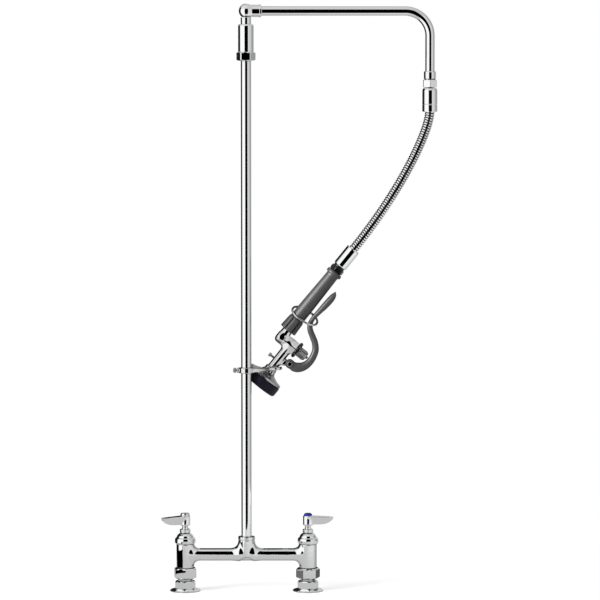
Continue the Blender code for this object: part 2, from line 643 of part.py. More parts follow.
def spray_head(mats, parent):
    """Dome shell, perforated face, rubber bumper and the face's screw."""
    shell = [(0.0088, -0.0650), (0.0098, -0.0655), (0.0098, -0.0715), (0.0170, -0.0763),
             (HEAD_R - 0.0006, -0.0840),
             (0.0290, -0.0846), (0.0160, -0.0787), (0.0088, -0.0745)]
    piece("spray_shell", moved(turned(shell), at(NOSE_X)), mats["chrome"], parent)
    bumper = [(0.0235, -0.0852), (HEAD_R, -0.0855), (HEAD_R, -0.1000), (HEAD_R - 0.0022, -0.1020),
              (0.0235, -0.1020)]
    piece("bumper", moved(turned(bumper), at(NOSE_X)), mats["rubber"], parent)
    face = [(0.0021, -0.0962), (0.0226, -0.0985), (0.0226, -0.0850), (0.0190, -0.0846), (0.0190, -0.0930),
            (0.0021, -0.0930)]
    holes = []
    for k in range(8):
        a = math.tau * (k + 0.5) / 8
        cutter = bored([(0, -0.1010), (0.0014, -0.1010), (0.0014, -0.0900), (0, -0.0900)], 5)
        holes.append(moved(cutter, at(NOSE_X + 0.0110 * math.cos(a), 0.0110 * math.sin(a))))
    joined("spray_face", [moved(turned(face), at(NOSE_X))], holes, mats["steel"], parent)
    screw = [(0, -0.0985), (0.0038, -0.0980), (0.0038, -0.0966),
             (0.0018, -0.0966), (0.0018, -0.0880), (0, -0.0880)]
    piece("face_screw", moved(turned(screw, 10), at(NOSE_X)), mats["steel"], parent)


# ---- finger hook ----
def finger_hook(mats, parent):
    """Clamp round the riser with a curved finger that carries the spray valve's nose."""
    low, high = HOOK_Z - 0.0045, HOOK_Z + 0.0045
    clamp = [(RISER_R + GAP, low), (0.0120, low), (0.0120, high), (RISER_R + GAP, high)]
    path = finger_path()
    sections = []
    for k, (p, side) in enumerate(path):
        t = k / (len(path) - 1)
        sections.append(bar_section(p, side, 0.0024 - 0.0006 * t, 0.0034 - 0.0012 * t))
    ear = moved(turned([(0, -0.0185), (0.0043, -0.0185), (0.0043, -0.0098), (0, -0.0098)], SMALL, 0.09),
                along_x(z=HOOK_Z))
    tap = moved(bored([(0, -0.0200), (0.0022, -0.0200), (0.0022, 0), (0, 0)], 8), along_x(z=HOOK_Z))
    joined("finger_hook", [turned(clamp), lofted(sections), ear], [tap], mats["chrome"], parent)
    screw = [(0, -0.0218), (0.0040, -0.0213), (0.0040, -0.0189),
             (0.0019, -0.0189), (0.0019, -0.0092), (0, -0.0092)]
    piece("hook_screw", moved(turned(screw, 10), along_x(z=HOOK_Z)), mats["chrome"], parent)


def finger_path():
    """Centre line of the finger: out past the front of the nose, then back round its far side."""
    knots = [(0.0100, -0.0030), (0.0200, 0.0010), (0.0290, 0.0090), (0.0370, 0.0180), (0.0440, 0.0225),
             (0.0510, 0.0245), (0.0553, 0.0285), (0.0568, 0.0345), (0.0568, 0.0405)]
    points = [Vector((x, y, HOOK_Z)) for x, y in knots]
    path = []
    for i, p in enumerate(points):
        along = points[min(i + 1, len(points) - 1)] - points[max(i - 1, 0)]
        path.append((p, Vector((-along.y, along.x, 0)).normalized()))
    return path


def bar_section(p, side, half_wide, half_high):
    """Eight-cornered section of the finger."""
    up = Vector((0, 0, 1))
    return [p + side * (half_wide * a) + up * (half_high * b) for a, b in BAR]


# ---- assembly ----
def build():
    """Build every piece under the empties that mark the joint axes."""
    clear_scene()
    mats = materials()
    root = empty("riser_axis", None, riser_matrix())
    mixing_body(mats, root)
    for side, sign, turn in (("left", -1, 180 + LEFT_HANDLE_TURN), ("right", 1, 0)):
        axis = empty(f"{side}_valve_axis", root, at(sign * HALF))
        inlet(side, mats, axis)
        stem = empty(f"{side}_plunger_axis", axis)
        valve(side, mats, axis, stem)
        turned_axis = empty(f"{side}_handle_axis", axis, Matrix.Rotation(math.radians(turn), 4, "Z"))
        handle(side, mats, turned_axis)
    riser(mats, root)
    finger_hook(mats, root)
    swivel_arm(mats, empty("arm_axis", root, Matrix.Rotation(ARM_TURN, 4, "Z")))
    outlet = empty("outlet_axis", root, at(OUTLET_X, PLANE_Y))
    links = [empty(f"hose_joint_{k + 1}", root, Matrix.Translation(hose_point(t)))
             for k, t in enumerate(hose_params()[:-1])]
    tilt = Matrix.Rotation(math.radians(VALVE_TILT), 4, "Y")
    valve_frame = empty("spray_valve_frame", root, Matrix.Translation(VALVE_O) @ tilt)
    bpy.context.view_layer.update()
    hose(mats, outlet, links, valve_frame)
    grip(mats, valve_frame)
    spray_body(mats, valve_frame)
    valve_inside(mats, valve_frame)
    valve_plunger(mats, empty("plunger_axis", valve_frame))
    squeeze_lever(mats, empty("lever_axis", valve_frame, at(PIVOT[0], 0, PIVOT[1])))
    hold_down_ring(mats, empty("ring_axis", valve_frame))
    spray_head(mats, valve_frame)


build()
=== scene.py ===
import json
import math
from itertools import product

import bpy
import numpy as np
from mathutils import Matrix, Vector

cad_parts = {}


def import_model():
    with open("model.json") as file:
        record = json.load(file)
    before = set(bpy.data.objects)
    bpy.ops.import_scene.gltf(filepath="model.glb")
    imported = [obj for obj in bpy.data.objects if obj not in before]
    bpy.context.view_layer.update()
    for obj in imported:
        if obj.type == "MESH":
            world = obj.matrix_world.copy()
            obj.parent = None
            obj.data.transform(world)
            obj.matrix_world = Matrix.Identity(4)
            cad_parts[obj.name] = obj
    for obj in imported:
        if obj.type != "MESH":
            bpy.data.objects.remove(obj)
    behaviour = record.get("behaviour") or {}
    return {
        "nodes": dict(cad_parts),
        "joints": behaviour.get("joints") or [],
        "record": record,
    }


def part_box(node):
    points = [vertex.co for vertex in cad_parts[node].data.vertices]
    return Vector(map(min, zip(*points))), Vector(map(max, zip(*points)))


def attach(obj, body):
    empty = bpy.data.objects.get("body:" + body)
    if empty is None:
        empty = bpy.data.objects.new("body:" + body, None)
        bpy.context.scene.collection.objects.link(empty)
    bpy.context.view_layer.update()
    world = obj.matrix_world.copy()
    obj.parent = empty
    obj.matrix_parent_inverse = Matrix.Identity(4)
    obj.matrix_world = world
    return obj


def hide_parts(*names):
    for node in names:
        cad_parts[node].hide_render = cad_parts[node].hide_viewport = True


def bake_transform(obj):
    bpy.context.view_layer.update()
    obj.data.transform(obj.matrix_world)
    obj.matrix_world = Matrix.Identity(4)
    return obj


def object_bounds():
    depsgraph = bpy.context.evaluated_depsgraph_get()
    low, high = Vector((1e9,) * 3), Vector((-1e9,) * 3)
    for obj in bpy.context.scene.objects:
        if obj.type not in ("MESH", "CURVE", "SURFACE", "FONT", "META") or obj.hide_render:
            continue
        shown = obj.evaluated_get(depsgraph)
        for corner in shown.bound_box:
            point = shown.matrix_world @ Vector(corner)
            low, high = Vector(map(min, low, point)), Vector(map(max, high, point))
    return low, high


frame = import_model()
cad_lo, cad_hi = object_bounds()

# Looks of the pre rinse faucet. Shapes are laid out in millimetres in the frame of the axis they
# turn about, then placed in metres by that frame.
MM = 0.001
JOINTS = {j["name"]: j for j in frame["joints"]}


# ---- frames, from the record ----
def spot(name):
    """A joint's place at rest, in millimetres."""
    return Vector(JOINTS[name]["pos_m"]) / MM


RISER_AT = spot("arm_swivel")
OUTLET_AT = spot("hose_swivel")
HALF = (spot("handle_right_turn").x - spot("handle_left_turn").x) / 2
PIVOT = Vector((37.8, 0, -41.4))        # lever pivot in the spray valve's own frame
NOSE_X = 18.8                           # nose axis in that frame
BARREL_Z = -16.0
HOSE_FOOT = 172.8                       # lower end of the hose, up the spray valve's grip

RISER = Matrix.Translation((RISER_AT.x, RISER_AT.y, 0))
LEFT = Matrix.Translation((spot("handle_left_turn").x, RISER_AT.y, 0))
RIGHT = Matrix.Translation((spot("handle_right_turn").x, RISER_AT.y, 0))
ARM_LINE = OUTLET_AT - RISER_AT
ARM_REACH = math.hypot(ARM_LINE.x, ARM_LINE.y)
ARM = RISER @ Matrix.Rotation(math.atan2(ARM_LINE.y, ARM_LINE.x), 4, "Z")
OUTLET = Matrix.Translation((OUTLET_AT.x, OUTLET_AT.y, 0))


def valve_frame():
    """Spray valve's frame: Z up the grip, X out along the barrel."""
    up = Vector(JOINTS["ring_slide"]["axis"]).normalized()
    out = -Vector(JOINTS["valve_push"]["axis"]).normalized()
    origin = spot("lever_squeeze") - out * PIVOT.x - up * PIVOT.z
    m = Matrix((out, (0, 1, 0), up)).transposed().to_4x4()
    m.translation = origin
    return m


VALVE = valve_frame()
NOSE = VALVE @ Matrix.Translation((NOSE_X, 0, 0))
ALONG_X = Matrix.Rotation(math.pi / 2, 4, "Y")
ALONG_Y = Matrix.Rotation(-math.pi / 2, 4, "X")
BARREL = VALVE @ Matrix.Translation((0, 0, BARREL_Z)) @ ALONG_X


# ---- meshes ----
def skin(rows, wrap=False):
    """Quads over rows of points, each row a closed ring; open ends are capped."""
    rows = np.asarray(rows, float)
    n, m = rows.shape[:2]
    i, j = np.meshgrid(np.arange(n if wrap else n - 1), np.arange(m), indexing="ij")
    a, b = i * m, ((i + 1) % n) * m
    k = (j + 1) % m
    faces = np.stack([a + j, a + k, b + k, b + j], -1).reshape(-1, 4).tolist()
    if not wrap:
        faces.append(list(range(m))[::-1])
        faces.append(list(range((n - 1) * m, n * m)))
    return rows.reshape(-1, 3), faces


def rounded(outline, closed, fillet):
    """Outline with each corner rounded, and a support point on each side of it."""
    pts = [np.array(p[:2], float) for p in outline]
    radii = [p[2] if len(p) > 2 else fillet for p in outline]
    out = []
    for i, p in enumerate(pts):
        if not closed and i in (0, len(pts) - 1):
            out.append(p)
            continue
        u, v = pts[i - 1] - p, pts[(i + 1) % len(pts)] - p
        lu, lv = np.linalg.norm(u), np.linalg.norm(v)
        u, v = u / lu, v / lv
        angle = math.acos(max(-1.0, min(1.0, float(u @ v))))
        turn = math.pi - angle
        if radii[i] <= 0 or turn < 0.05:
            out.append(p)
            continue
        t = min(radii[i] / math.tan(angle / 2), 0.42 * lu, 0.42 * lv)
        r = t * math.tan(angle / 2)
        centre = p + (u + v) / np.linalg.norm(u + v) * (r / math.sin(angle / 2))
        start, end = p + u * t - centre, p + v * t - centre
        out.append(p + u * (t + min(0.3, 0.05 * lu)))
        steps = max(2, math.ceil(turn / math.radians(16)))
        for k in range(steps + 1):
            w = k / steps
            spoke = math.sin((1 - w) * turn) * start + math.sin(w * turn) * end
            out.append(centre + spoke / math.sin(turn))
        out.append(p + v * (t + min(0.3, 0.05 * lv)))
    return out


def hex_angles(turn, blunt):
    """Angles round a hexagon, close together at its corners."""
    out = []
    for k in range(6):
        for step in (-30, -24, -18, -12, -7, -blunt, -blunt / 2, 0, blunt / 2, blunt, 7, 12, 18, 24):
            out.append(math.radians(60 * k + step + turn))
    return np.array(out)


def hex_radius(angle, half, turn, soft):
    """Distance to a hexagon's outline with corners of radius soft."""
    off = np.abs((np.degrees(angle) - turn + 30) % 60 - 30)
    flat = half / np.cos(np.radians(30 - off))
    reach = (half - soft) / math.cos(math.pi / 6)
    a = np.radians(off)
    corner = reach * np.cos(a) + np.sqrt(np.maximum(soft ** 2 - (reach * np.sin(a)) ** 2, 0))
    edge = math.degrees(math.atan2(soft * 0.5, reach + soft * math.cos(math.pi / 6)))
    return np.where(off <= edge, corner, flat)


def lathe(outline, closed=False, hexagon=None, fillet=0.35, sides=72, flutes=None):
    """Turned shape about Z. hexagon = (half the flats, low z, high z, turn in degrees, corner radius).
    flutes = (count, depth, low z, high z, turn in degrees, narrowness)."""
    pts = rounded(outline, closed, fillet)
    ends = [pts[-1]] + pts[:-1] if closed else [np.array([0, pts[0][1]])] + pts[:-1]
    area = sum(a[0] * b[1] - b[0] * a[1] for a, b in zip(ends, pts))
    if area < 0:
        pts = pts[::-1]
    if hexagon:
        half, low, high, turn, soft = hexagon
        blunt = math.degrees(math.atan2(soft * 0.5, (half - soft) / 0.866 + soft * 0.866))
        angles = hex_angles(turn, blunt)
    else:
        angles = np.linspace(0, math.tau, sides, endpoint=False)
    rows = []
    for r, z in pts:
        radius = np.full(len(angles), max(r, 0.25))
        if hexagon and low <= z <= high:
            radius = np.minimum(radius, hex_radius(angles, half, turn, soft))
        if flutes and flutes[2] <= z <= flutes[3]:
            count, depth, z0, z1, phase, narrow = flutes
            fade = min(1.0, (z - z0) / 0.8 if z0 > 0 else 1.0, (z1 - z) / 3.5)
            wave = (0.5 + 0.5 * np.cos(count * (angles - math.radians(phase)))) ** narrow
            radius = radius - depth * math.sqrt(max(fade, 0)) * wave
        rows.append(np.stack([radius * np.cos(angles), radius * np.sin(angles), np.full(len(angles), z)], -1))
    return skin(rows, wrap=closed)


def circle(count):
    """Points round a unit circle."""
    a = np.linspace(0, math.tau, count, endpoint=False)
    return np.stack([np.cos(a), np.sin(a)], -1)


def spline(knots, per=12):
    """Smooth curve through the knots, any number of columns."""
    k = np.asarray(knots, float)
    ext = np.vstack([2 * k[0] - k[1], k, 2 * k[-1] - k[-2]])
    out = []
    for i in range(1, len(ext) - 2):
        for t in np.arange(per) / per:
            a, b, c, d = ext[i - 1:i + 3]
            out.append(0.5 * (2 * b + (c - a) * t + (2 * a - 5 * b + 4 * c - d) * t * t
                              + (3 * b - a - 3 * c + d) * t ** 3))
    out.append(k[-1])
    return np.array(out)


def swept(path, radius, inner=0.0, sides=32, closed=False, binormal=(0, 1, 0)):
    """Round bar or pipe along a curve that lies in one plane."""
    path = np.asarray(path, float)
    if closed:
        along = np.roll(path, -1, 0) - np.roll(path, 1, 0)
    else:
        along = np.gradient(path, axis=0)
    along /= np.linalg.norm(along, axis=1)[:, None]
    side = np.array(binormal, float)
    normal = np.cross(side, along)
    ring = circle(sides)

    def rows(r):
        return [p + r * (ring[:, :1] * n + ring[:, 1:] * side) for p, n in zip(path, normal)]

    if inner:
        return skin(rows(radius) + rows(inner)[::-1], wrap=True)
    return skin(rows(radius), wrap=closed)


# ---- cast shapes, as distance fields ----
def ease(value, low, high):
    """Smooth step from 0 at low to 1 at high."""
    t = np.clip((value - low) / (high - low), 0, 1)
    return t * t * (3 - 2 * t)


def rod(p, a, b, r, edge=0.0):
    """Round bar from a to b."""
    a, b = np.array(a, float), np.array(b, float)
    length = np.linalg.norm(b - a)
    axis = (b - a) / length
    h = (p - a) @ axis
    radial = np.linalg.norm(p - a - h[:, None] * axis, axis=1) - r + edge
    end = np.abs(h - length / 2) - length / 2 + edge
    return np.hypot(np.maximum(radial, 0), np.maximum(end, 0)) + np.minimum(np.maximum(radial, end), 0) - edge


def taper(p, a, b, ra, rb):
    """Round-ended bar whose radius runs from ra to rb."""
    a, b = np.array(a, float), np.array(b, float)
    t = np.clip((p - a) @ (b - a) / ((b - a) @ (b - a)), 0, 1)
    return np.linalg.norm(p - a - t[:, None] * (b - a), axis=1) - (ra + (rb - ra) * t)


def block(p, centre, half, edge=0.0):
    """Box with rounded edges."""
    q = np.abs(p - np.array(centre, float)) - np.array(half, float) + edge
    return np.linalg.norm(np.maximum(q, 0), axis=1) + np.minimum(q.max(1), 0) - edge


def join(a, b, soft=0.01):
    """Both shapes, with a fillet where they meet."""
    h = np.maximum(soft - np.abs(a - b), 0) / soft
    return np.minimum(a, b) - h * h * soft / 4


def meet(a, b, soft=0.01):
    """What the two shapes share, with a rounded edge."""
    return -join(-a, -b, soft)


def cut(a, b, soft=0.01):
    """a without b."""
    return meet(a, -b, soft)


def bar_field(plane, across, path, power=2.5):
    """Bar along a plane curve. path rows: (a, b, half thickness, half width)."""
    out = np.empty(len(plane))
    a, d = path[:-1], np.diff(path, axis=0)
    len2 = (d[:, :2] ** 2).sum(1)
    for start in range(0, len(plane), 20000):
        q, w = plane[start:start + 20000], np.abs(across[start:start + 20000])
        rel = q[:, None, :] - a[None, :, :2]
        t = np.clip((rel * d[None, :, :2]).sum(2) / len2, 0, 1)
        gap = ((rel - t[..., None] * d[None, :, :2]) ** 2).sum(2)
        best = gap.argmin(1)
        row = np.arange(len(q))
        tb = t[row, best]
        thick = a[best, 2] + tb * d[best, 2]
        wide = a[best, 3] + tb * d[best, 3]
        level = ((np.sqrt(gap[row, best]) / thick) ** power + (w / wide) ** power) ** (1 / power)
        out[start:start + 20000] = (level - 1) * np.minimum(thick, wide)
    return out


def slope(field, p, step=0.04):
    """Gradient of a field at points."""
    g = np.empty_like(p)
    for i in range(3):
        e = np.zeros(3)
        e[i] = step
        g[:, i] = (field(p + e) - field(p - e)) / (2 * step)
    return g


def cast(field, low, high, cell):
    """Closed mesh over the field's zero surface, and its normals."""
    low = np.array(low, float)
    count = np.ceil((np.array(high, float) - low) / cell).astype(int) + 1
    axes = [low[i] + cell * np.arange(count[i]) for i in range(3)]
    grid = np.stack(np.meshgrid(*axes, indexing="ij"), -1).reshape(-1, 3)
    d = field(grid).reshape(count)
    corners = list(product((0, 1), repeat=3))
    ends = count - 1
    stack = np.stack([d[i:ends[0] + i, j:ends[1] + j, k:ends[2] + k] for i, j, k in corners], -1)
    number = (stack < 0).sum(-1)
    active = (number > 0) & (number < 8)
    values, offs = stack[active], np.array(corners, float)
    total, hits = np.zeros((len(values), 3)), np.zeros(len(values))
    for a in range(8):
        for b in range(a + 1, 8):
            if np.abs(offs[a] - offs[b]).sum() != 1:
                continue
            cross = (values[:, a] < 0) != (values[:, b] < 0)
            va, vb = values[cross, a], values[cross, b]
            total[cross] += offs[a] + (va / (va - vb))[:, None] * (offs[b] - offs[a])
            hits[cross] += 1
    p = low + cell * (np.argwhere(active) + total / hits[:, None])
    index = np.full(active.shape, -1)
    index[active] = np.arange(len(p))
    faces = []
    for axis in range(3):
        near = d[tuple(slice(0, -1) if x == axis else slice(1, -1) for x in range(3))]
        far = d[tuple(slice(1, None) if x == axis else slice(1, -1) for x in range(3))]
        change = (near < 0) != (far < 0)
        base = np.argwhere(change)
        u, v = (axis + 1) % 3, (axis + 2) % 3
        base[:, [u, v]] += 1
        quad = []
        for du, dv in ((-1, -1), (0, -1), (0, 0), (-1, 0)):
            c = base.copy()
            c[:, u] += du
            c[:, v] += dv
            quad.append(index[c[:, 0], c[:, 1], c[:, 2]])
        quad = np.stack(quad, 1)
        out = (near < 0)[change]
        quad[~out] = quad[~out][:, ::-1]
        faces += quad.tolist()
    for _ in range(4):
        g = slope(field, p)
        step = (field(p) / np.maximum((g * g).sum(1), 0.05))[:, None] * g
        size = np.linalg.norm(step, axis=1)[:, None]
        p = p - step * np.minimum(1, 0.5 * cell / np.maximum(size, 1e-9))
    g = slope(field, p)
    return p, faces, g / np.maximum(np.linalg.norm(g, axis=1), 1e-9)[:, None]


# ---- pieces ----
FINISH = {}
DULL = ("grip", "black", "rubber", "blue", "red")   # the lamps light these; metal shows the studio only
LIT = []                                            # what the lamps light
BODY_OF = {n: b for b, ns in frame["record"]["behaviour"]["bodies"].items() for n in ns}
SLOT_OF = {s["node"]: s["material_slot"] for s in frame["record"]["subparts"]}


def piece(node, shape, place, finish=None, name=None, stands_for=None, body=None, sharp=30):
    """Puts a shape in the scene as the piece that stands for a CAD node, on that node's body."""
    verts, faces = shape[0], shape[1]
    m = np.array(place)
    co = (np.asarray(verts) @ m[:3, :3].T + m[:3, 3]) * MM
    mesh = bpy.data.meshes.new(name or node + "_visual")
    mesh.from_pydata(co.tolist(), [], faces)
    mesh.validate()
    mesh.shade_smooth()
    if len(shape) > 2:
        normals = np.asarray(shape[2]) @ m[:3, :3].T
        mesh.normals_split_custom_set_from_vertices(normals.tolist())
    else:
        mesh.set_sharp_from_angle(angle=math.radians(sharp))
    obj = bpy.data.objects.new(mesh.name, mesh)
    bpy.context.scene.collection.objects.link(obj)
    mesh.materials.append(FINISH[finish or SLOT_OF[node]])
    if (finish or SLOT_OF[node]) in DULL:
        LIT.append(obj)
    if body != "blend":
        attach(obj, body or BODY_OF[node])
    stood = [node] if stands_for is None else stands_for
    if stood:
        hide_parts(*stood)
    return obj


# ---- finishes ----
NOISE_LOW, NOISE_HIGH = 0.3, 0.7                # most of a noise texture lies between these
HOLLOW = 0.006                                  # painted shade: how near a surface must be to darken another's colour, in metres


def node(tree, kind, **values):
    """Adds a shader node with its inputs and settings."""
    n = tree.nodes.new(kind)
    for key, value in values.items():
        if key in n.inputs:
            n.inputs[key].default_value = value
        else:
            setattr(n, key, value)
    return n


def multiply(tree, colour, factor):
    """Colour darkened by a factor from another node."""
    shade = node(tree, "ShaderNodeMix", data_type="RGBA", blend_type="MULTIPLY")
    shade.inputs["Factor"].default_value = 1.0
    tree.links.new(colour, shade.inputs[6])
    tree.links.new(factor, shade.inputs[7])
    return shade.outputs[2]


def span(tree, value, low, high, at_low, at_high):
    """Value mapped from low..high to at_low..at_high."""
    n = node(tree, "ShaderNodeMapRange")
    n.inputs["From Min"].default_value, n.inputs["From Max"].default_value = low, high
    n.inputs["To Min"].default_value, n.inputs["To Max"].default_value = at_low, at_high
    tree.links.new(value, n.inputs["Value"])
    return n.outputs["Result"]


def finish(name, colour, metallic, rough, fine, wave, mottle=0.0, painted_hollow_shade=0.0, rim=0.0, shine=0.5,
           painted_groove_shade=False):
    """Material from nodes. rough = (least, most); fine and wave = (noise scale, bump height in mm).
    painted_hollow_shade paints shade into hollows (colour darkened by ambient occlusion), rim paints a darker
    edge where the surface turns away from the view, painted_groove_shade multiplies in the mesh's own "shade"
    layer of painted groove shade."""
    m = bpy.data.materials.new(name)
    m.use_nodes = True
    tree = m.node_tree
    shader = tree.nodes["Principled BSDF"]
    shader.inputs["Metallic"].default_value = metallic
    where = node(tree, "ShaderNodeTexCoord")
    cloud = node(tree, "ShaderNodeTexNoise", Scale=90.0, Detail=4.0, Roughness=0.6)
    shader.inputs["Specular IOR Level"].default_value = shine
    tree.links.new(where.outputs["Object"], cloud.inputs["Vector"])
    dulled = span(tree, cloud.outputs["Fac"], NOISE_LOW, NOISE_HIGH, *rough)
    tree.links.new(dulled, shader.inputs["Roughness"])
    blotch = node(tree, "ShaderNodeTexNoise", Scale=260.0, Detail=3.0)
    tree.links.new(where.outputs["Object"], blotch.inputs["Vector"])
    plain = node(tree, "ShaderNodeRGB")
    plain.outputs[0].default_value = (*colour, 1)
    patchy = span(tree, blotch.outputs["Fac"], NOISE_LOW, NOISE_HIGH, 1 - mottle, 1 + mottle)
    last = multiply(tree, plain.outputs[0], patchy)
    # painted shade: the colour is darkened in hollows, where ambient occlusion finds other surfaces near
    if painted_hollow_shade:
        hollow = node(tree, "ShaderNodeAmbientOcclusion", samples=8)
        hollow.inputs["Distance"].default_value = HOLLOW
        last = multiply(tree, last, span(tree, hollow.outputs["AO"], 0.2, 0.75, 1 - painted_hollow_shade, 1.0))
    # painted shade: the colour is darkened towards the outline, where the surface turns away from the view
    if rim:
        away = node(tree, "ShaderNodeLayerWeight", Blend=0.5)
        last = multiply(tree, last, span(tree, away.outputs["Facing"], 0.22, 0.48, 1.0, 1 - rim))
    # painted shade: the mesh's own "shade" layer, darker in the hose's grooves
    if painted_groove_shade:
        own = node(tree, "ShaderNodeVertexColor", layer_name="shade")
        last = multiply(tree, last, own.outputs["Color"])
    tree.links.new(last, shader.inputs["Base Color"])
    link = None
    for scale, height in (wave, fine):
        if height <= 0:
            continue
        noise = node(tree, "ShaderNodeTexNoise", Scale=scale, Detail=2.0)
        bump = node(tree, "ShaderNodeBump", Strength=1.0, Distance=height * MM)
        tree.links.new(where.outputs["Object"], noise.inputs["Vector"])
        tree.links.new(noise.outputs["Fac"], bump.inputs["Height"])
        if link:
            tree.links.new(link, bump.inputs["Normal"])
        link = bump.outputs["Normal"]
    if link:
        tree.links.new(link, shader.inputs["Normal"])
    FINISH[name] = m
    return m


def all_finishes():
    """Every material of the faucet, by the name that pieces ask for."""
    # painted shade: these finishes darken their colour in hollows and at outlines where surfaces turn away
    finish("chrome", (0.96, 0.965, 0.97), 1.0, (0.015, 0.04), (0, 0), (30, 0.002), painted_hollow_shade=0.9)
    finish("cast_chrome", (0.96, 0.965, 0.97), 1.0, (0.02, 0.05), (0, 0), (48, 0.40), painted_hollow_shade=0.9, rim=0.35)
    finish("valve_chrome", (0.84, 0.84, 0.84), 1.0, (0.03, 0.07), (0, 0), (60, 0.05), painted_hollow_shade=1.0, rim=0.97)
    finish("satin_chrome", (0.56, 0.56, 0.565), 1.0, (0.16, 0.26), (1500, 0.002), (60, 0.02), 0.04,
           painted_hollow_shade=0.8, rim=0.45)
    finish("hose_steel", (0.92, 0.92, 0.92), 1.0, (0.06, 0.12), (0, 0), (200, 0.004), 0.04, painted_groove_shade=True)
    finish("steel", (0.60, 0.60, 0.60), 1.0, (0.16, 0.30), (1500, 0.004), (200, 0.01), 0.06, painted_hollow_shade=0.75)
    finish("brass", (0.78, 0.60, 0.30), 1.0, (0.15, 0.30), (1500, 0.004), (200, 0.01), 0.05)
    finish("grip", (0.036, 0.036, 0.037), 0.0, (0.40, 0.48), (1700, 0.008), (160, 0.02), 0.10, painted_hollow_shade=0.85)
    finish("black", (0.003, 0.003, 0.0035), 0.0, (0.12, 0.22), (1700, 0.004), (160, 0.01), 0.1)
    finish("rubber", (0.0040, 0.0024, 0.0100), 0.0, (0.40, 0.55), (1500, 0.02), (160, 0.03), 0.15,
           painted_hollow_shade=0.5, shine=0.2)
    finish("blue", (0.002, 0.006, 0.15), 0.0, (0.30, 0.4), (1200, 0.002), (160, 0.004), 0.05, shine=0.2)
    finish("red", (0.40, 0.012, 0.010), 0.0, (0.30, 0.4), (1200, 0.002), (160, 0.004), 0.05, shine=0.2)
    finish("ribbed", (0.40, 0.40, 0.405), 1.0, (0.18, 0.30), (1700, 0.004), (160, 0.01), 0.05,
           painted_hollow_shade=0.9, rim=0.8)


# ---- base ----
INLET_HEX = {"left": 25.0, "right": -20.0}      # how each hexagon is turned, in degrees
UNION_HEX = {"left": -22.0, "right": 9.0}
TUBE_Z, TUBE_HALF = 60.8, 10.2                  # cross tube between the valve columns
SQUARENESS = 2.5                                # its section: 2 is round, higher is squarer


def inlet(side, axis):
    """Deck flange with its hexagon, and the union nut."""
    flange = [(8.0, 0), (25.4, 0, 0.3), (25.4, 1.5, 0.5), (23.5, 2.8, 2.0), (17.8, 4.4, 1.2),
              (16.6, 4.9, 0.3), (18.3, 6.0, 0.4), (18.3, 15.4, 0.5), (15.6, 17.0, 0.6), (12.3, 17.2, 0.3),
              (12.3, 26.2), (15.0, 26.2), (15.0, 30.0), (8.0, 30.0)]
    piece(f"inlet_flange_{side}", lathe(flange, True, (16.2, 5.0, 16.9, INLET_HEX[side], 0.5)), axis)
    nut = [(13.1, 21.3), (16.2, 21.3, 0.5), (20.1, 23.2, 0.6), (20.1, 36.4, 0.6), (17.2, 38.6, 0.6),
           (16.2, 38.8), (16.2, 25.7), (13.1, 25.7)]
    piece(f"coupling_nut_{side}", lathe(nut, True, (17.5, 21.4, 38.7, UNION_HEX[side], 0.5)), axis)


def body_field(p):
    """Cast body: two valve columns, the tube between them and the riser's hub, hollow inside."""
    x, y, z = p.T
    tube = (np.abs(y) ** SQUARENESS + np.abs(z - TUBE_Z) ** SQUARENESS) ** (1 / SQUARENESS) - TUBE_HALF
    d = np.maximum(tube, np.abs(x) - HALF)
    for s in (-HALF, HALF):
        side = ease(np.abs(x - s), 3, 14)
        d = join(d, rod(p, (s, 0, 38.9), (s, 0, 78.6), 14.6, 0.8), 3 + 8 * side)
    side = ease(np.abs(x), 3, 14)
    d = join(d, rod(p, (0, 0, 57.5), (0, 0, 86.5), 13.6, 2.0), 3 + 12 * side)
    d = join(d, rod(p, (0, 0, 86.2), (0, 0, 91.0), 14.0, 0.7), 1.6)
    for s in (-HALF, HALF):
        d = cut(d, rod(p, (s, 0, 30), (s, 0, 52), 8.7))
        d = cut(d, rod(p, (s, 0, 52), (s, 0, 90), 11.3))
    d = cut(d, rod(p, (-HALF, 0, 61.6), (HALF, 0, 61.6), 6.8))
    d = cut(d, rod(p, (0, 0, TUBE_Z), (0, 0, 82), 6.1))
    return cut(d, rod(p, (0, 0, 80), (0, 0, 95), 9.1))


def bonnet(side, axis):
    """Valve bonnet, packing nut and spindle."""
    shape = [(5.6, 72), (10.6, 72), (10.6, 78.9), (15.4, 78.9, 0.8), (17.1, 80.6, 1.6), (17.3, 84.6, 1.6),
             (16.4, 88.2, 1.0), (14.4, 89.4, 0.4), (13.3, 92.6, 3.0), (10.6, 95.6, 2.5), (7.4, 97.0, 0.5),
             (5.6, 97.0)]
    piece(f"bonnet_{side}", lathe(shape, True), axis)
    packing = [(5.6, 97.3), (8.0, 97.3, 0.5), (9.0, 98.5, 0.6), (9.0, 100.0, 0.4), (8.4, 100.7, 0.4),
               (8.8, 101.4, 0.4), (8.8, 102.4, 0.5), (7.6, 103.4, 0.5), (5.6, 103.4)]
    piece(f"packing_nut_{side}", lathe(packing, True), axis)
    spindle = [(0, 73.5), (3.8, 73.5), (3.8, 66.0), (7.2, 66.0), (7.2, 78.0), (5.2, 79.0), (5.2, 106.5, 0.2),
               (4.7, 107.0, 0.2), (4.7, 107.8, 0.2), (5.2, 108.3, 0.2), (5.2, 118.0), (0, 118.0)]
    piece(f"spindle_{side}", lathe(spindle, False, sides=48), axis, finish="chrome")


REACH = 42.3                                    # handle's blade, from its axis to its tip


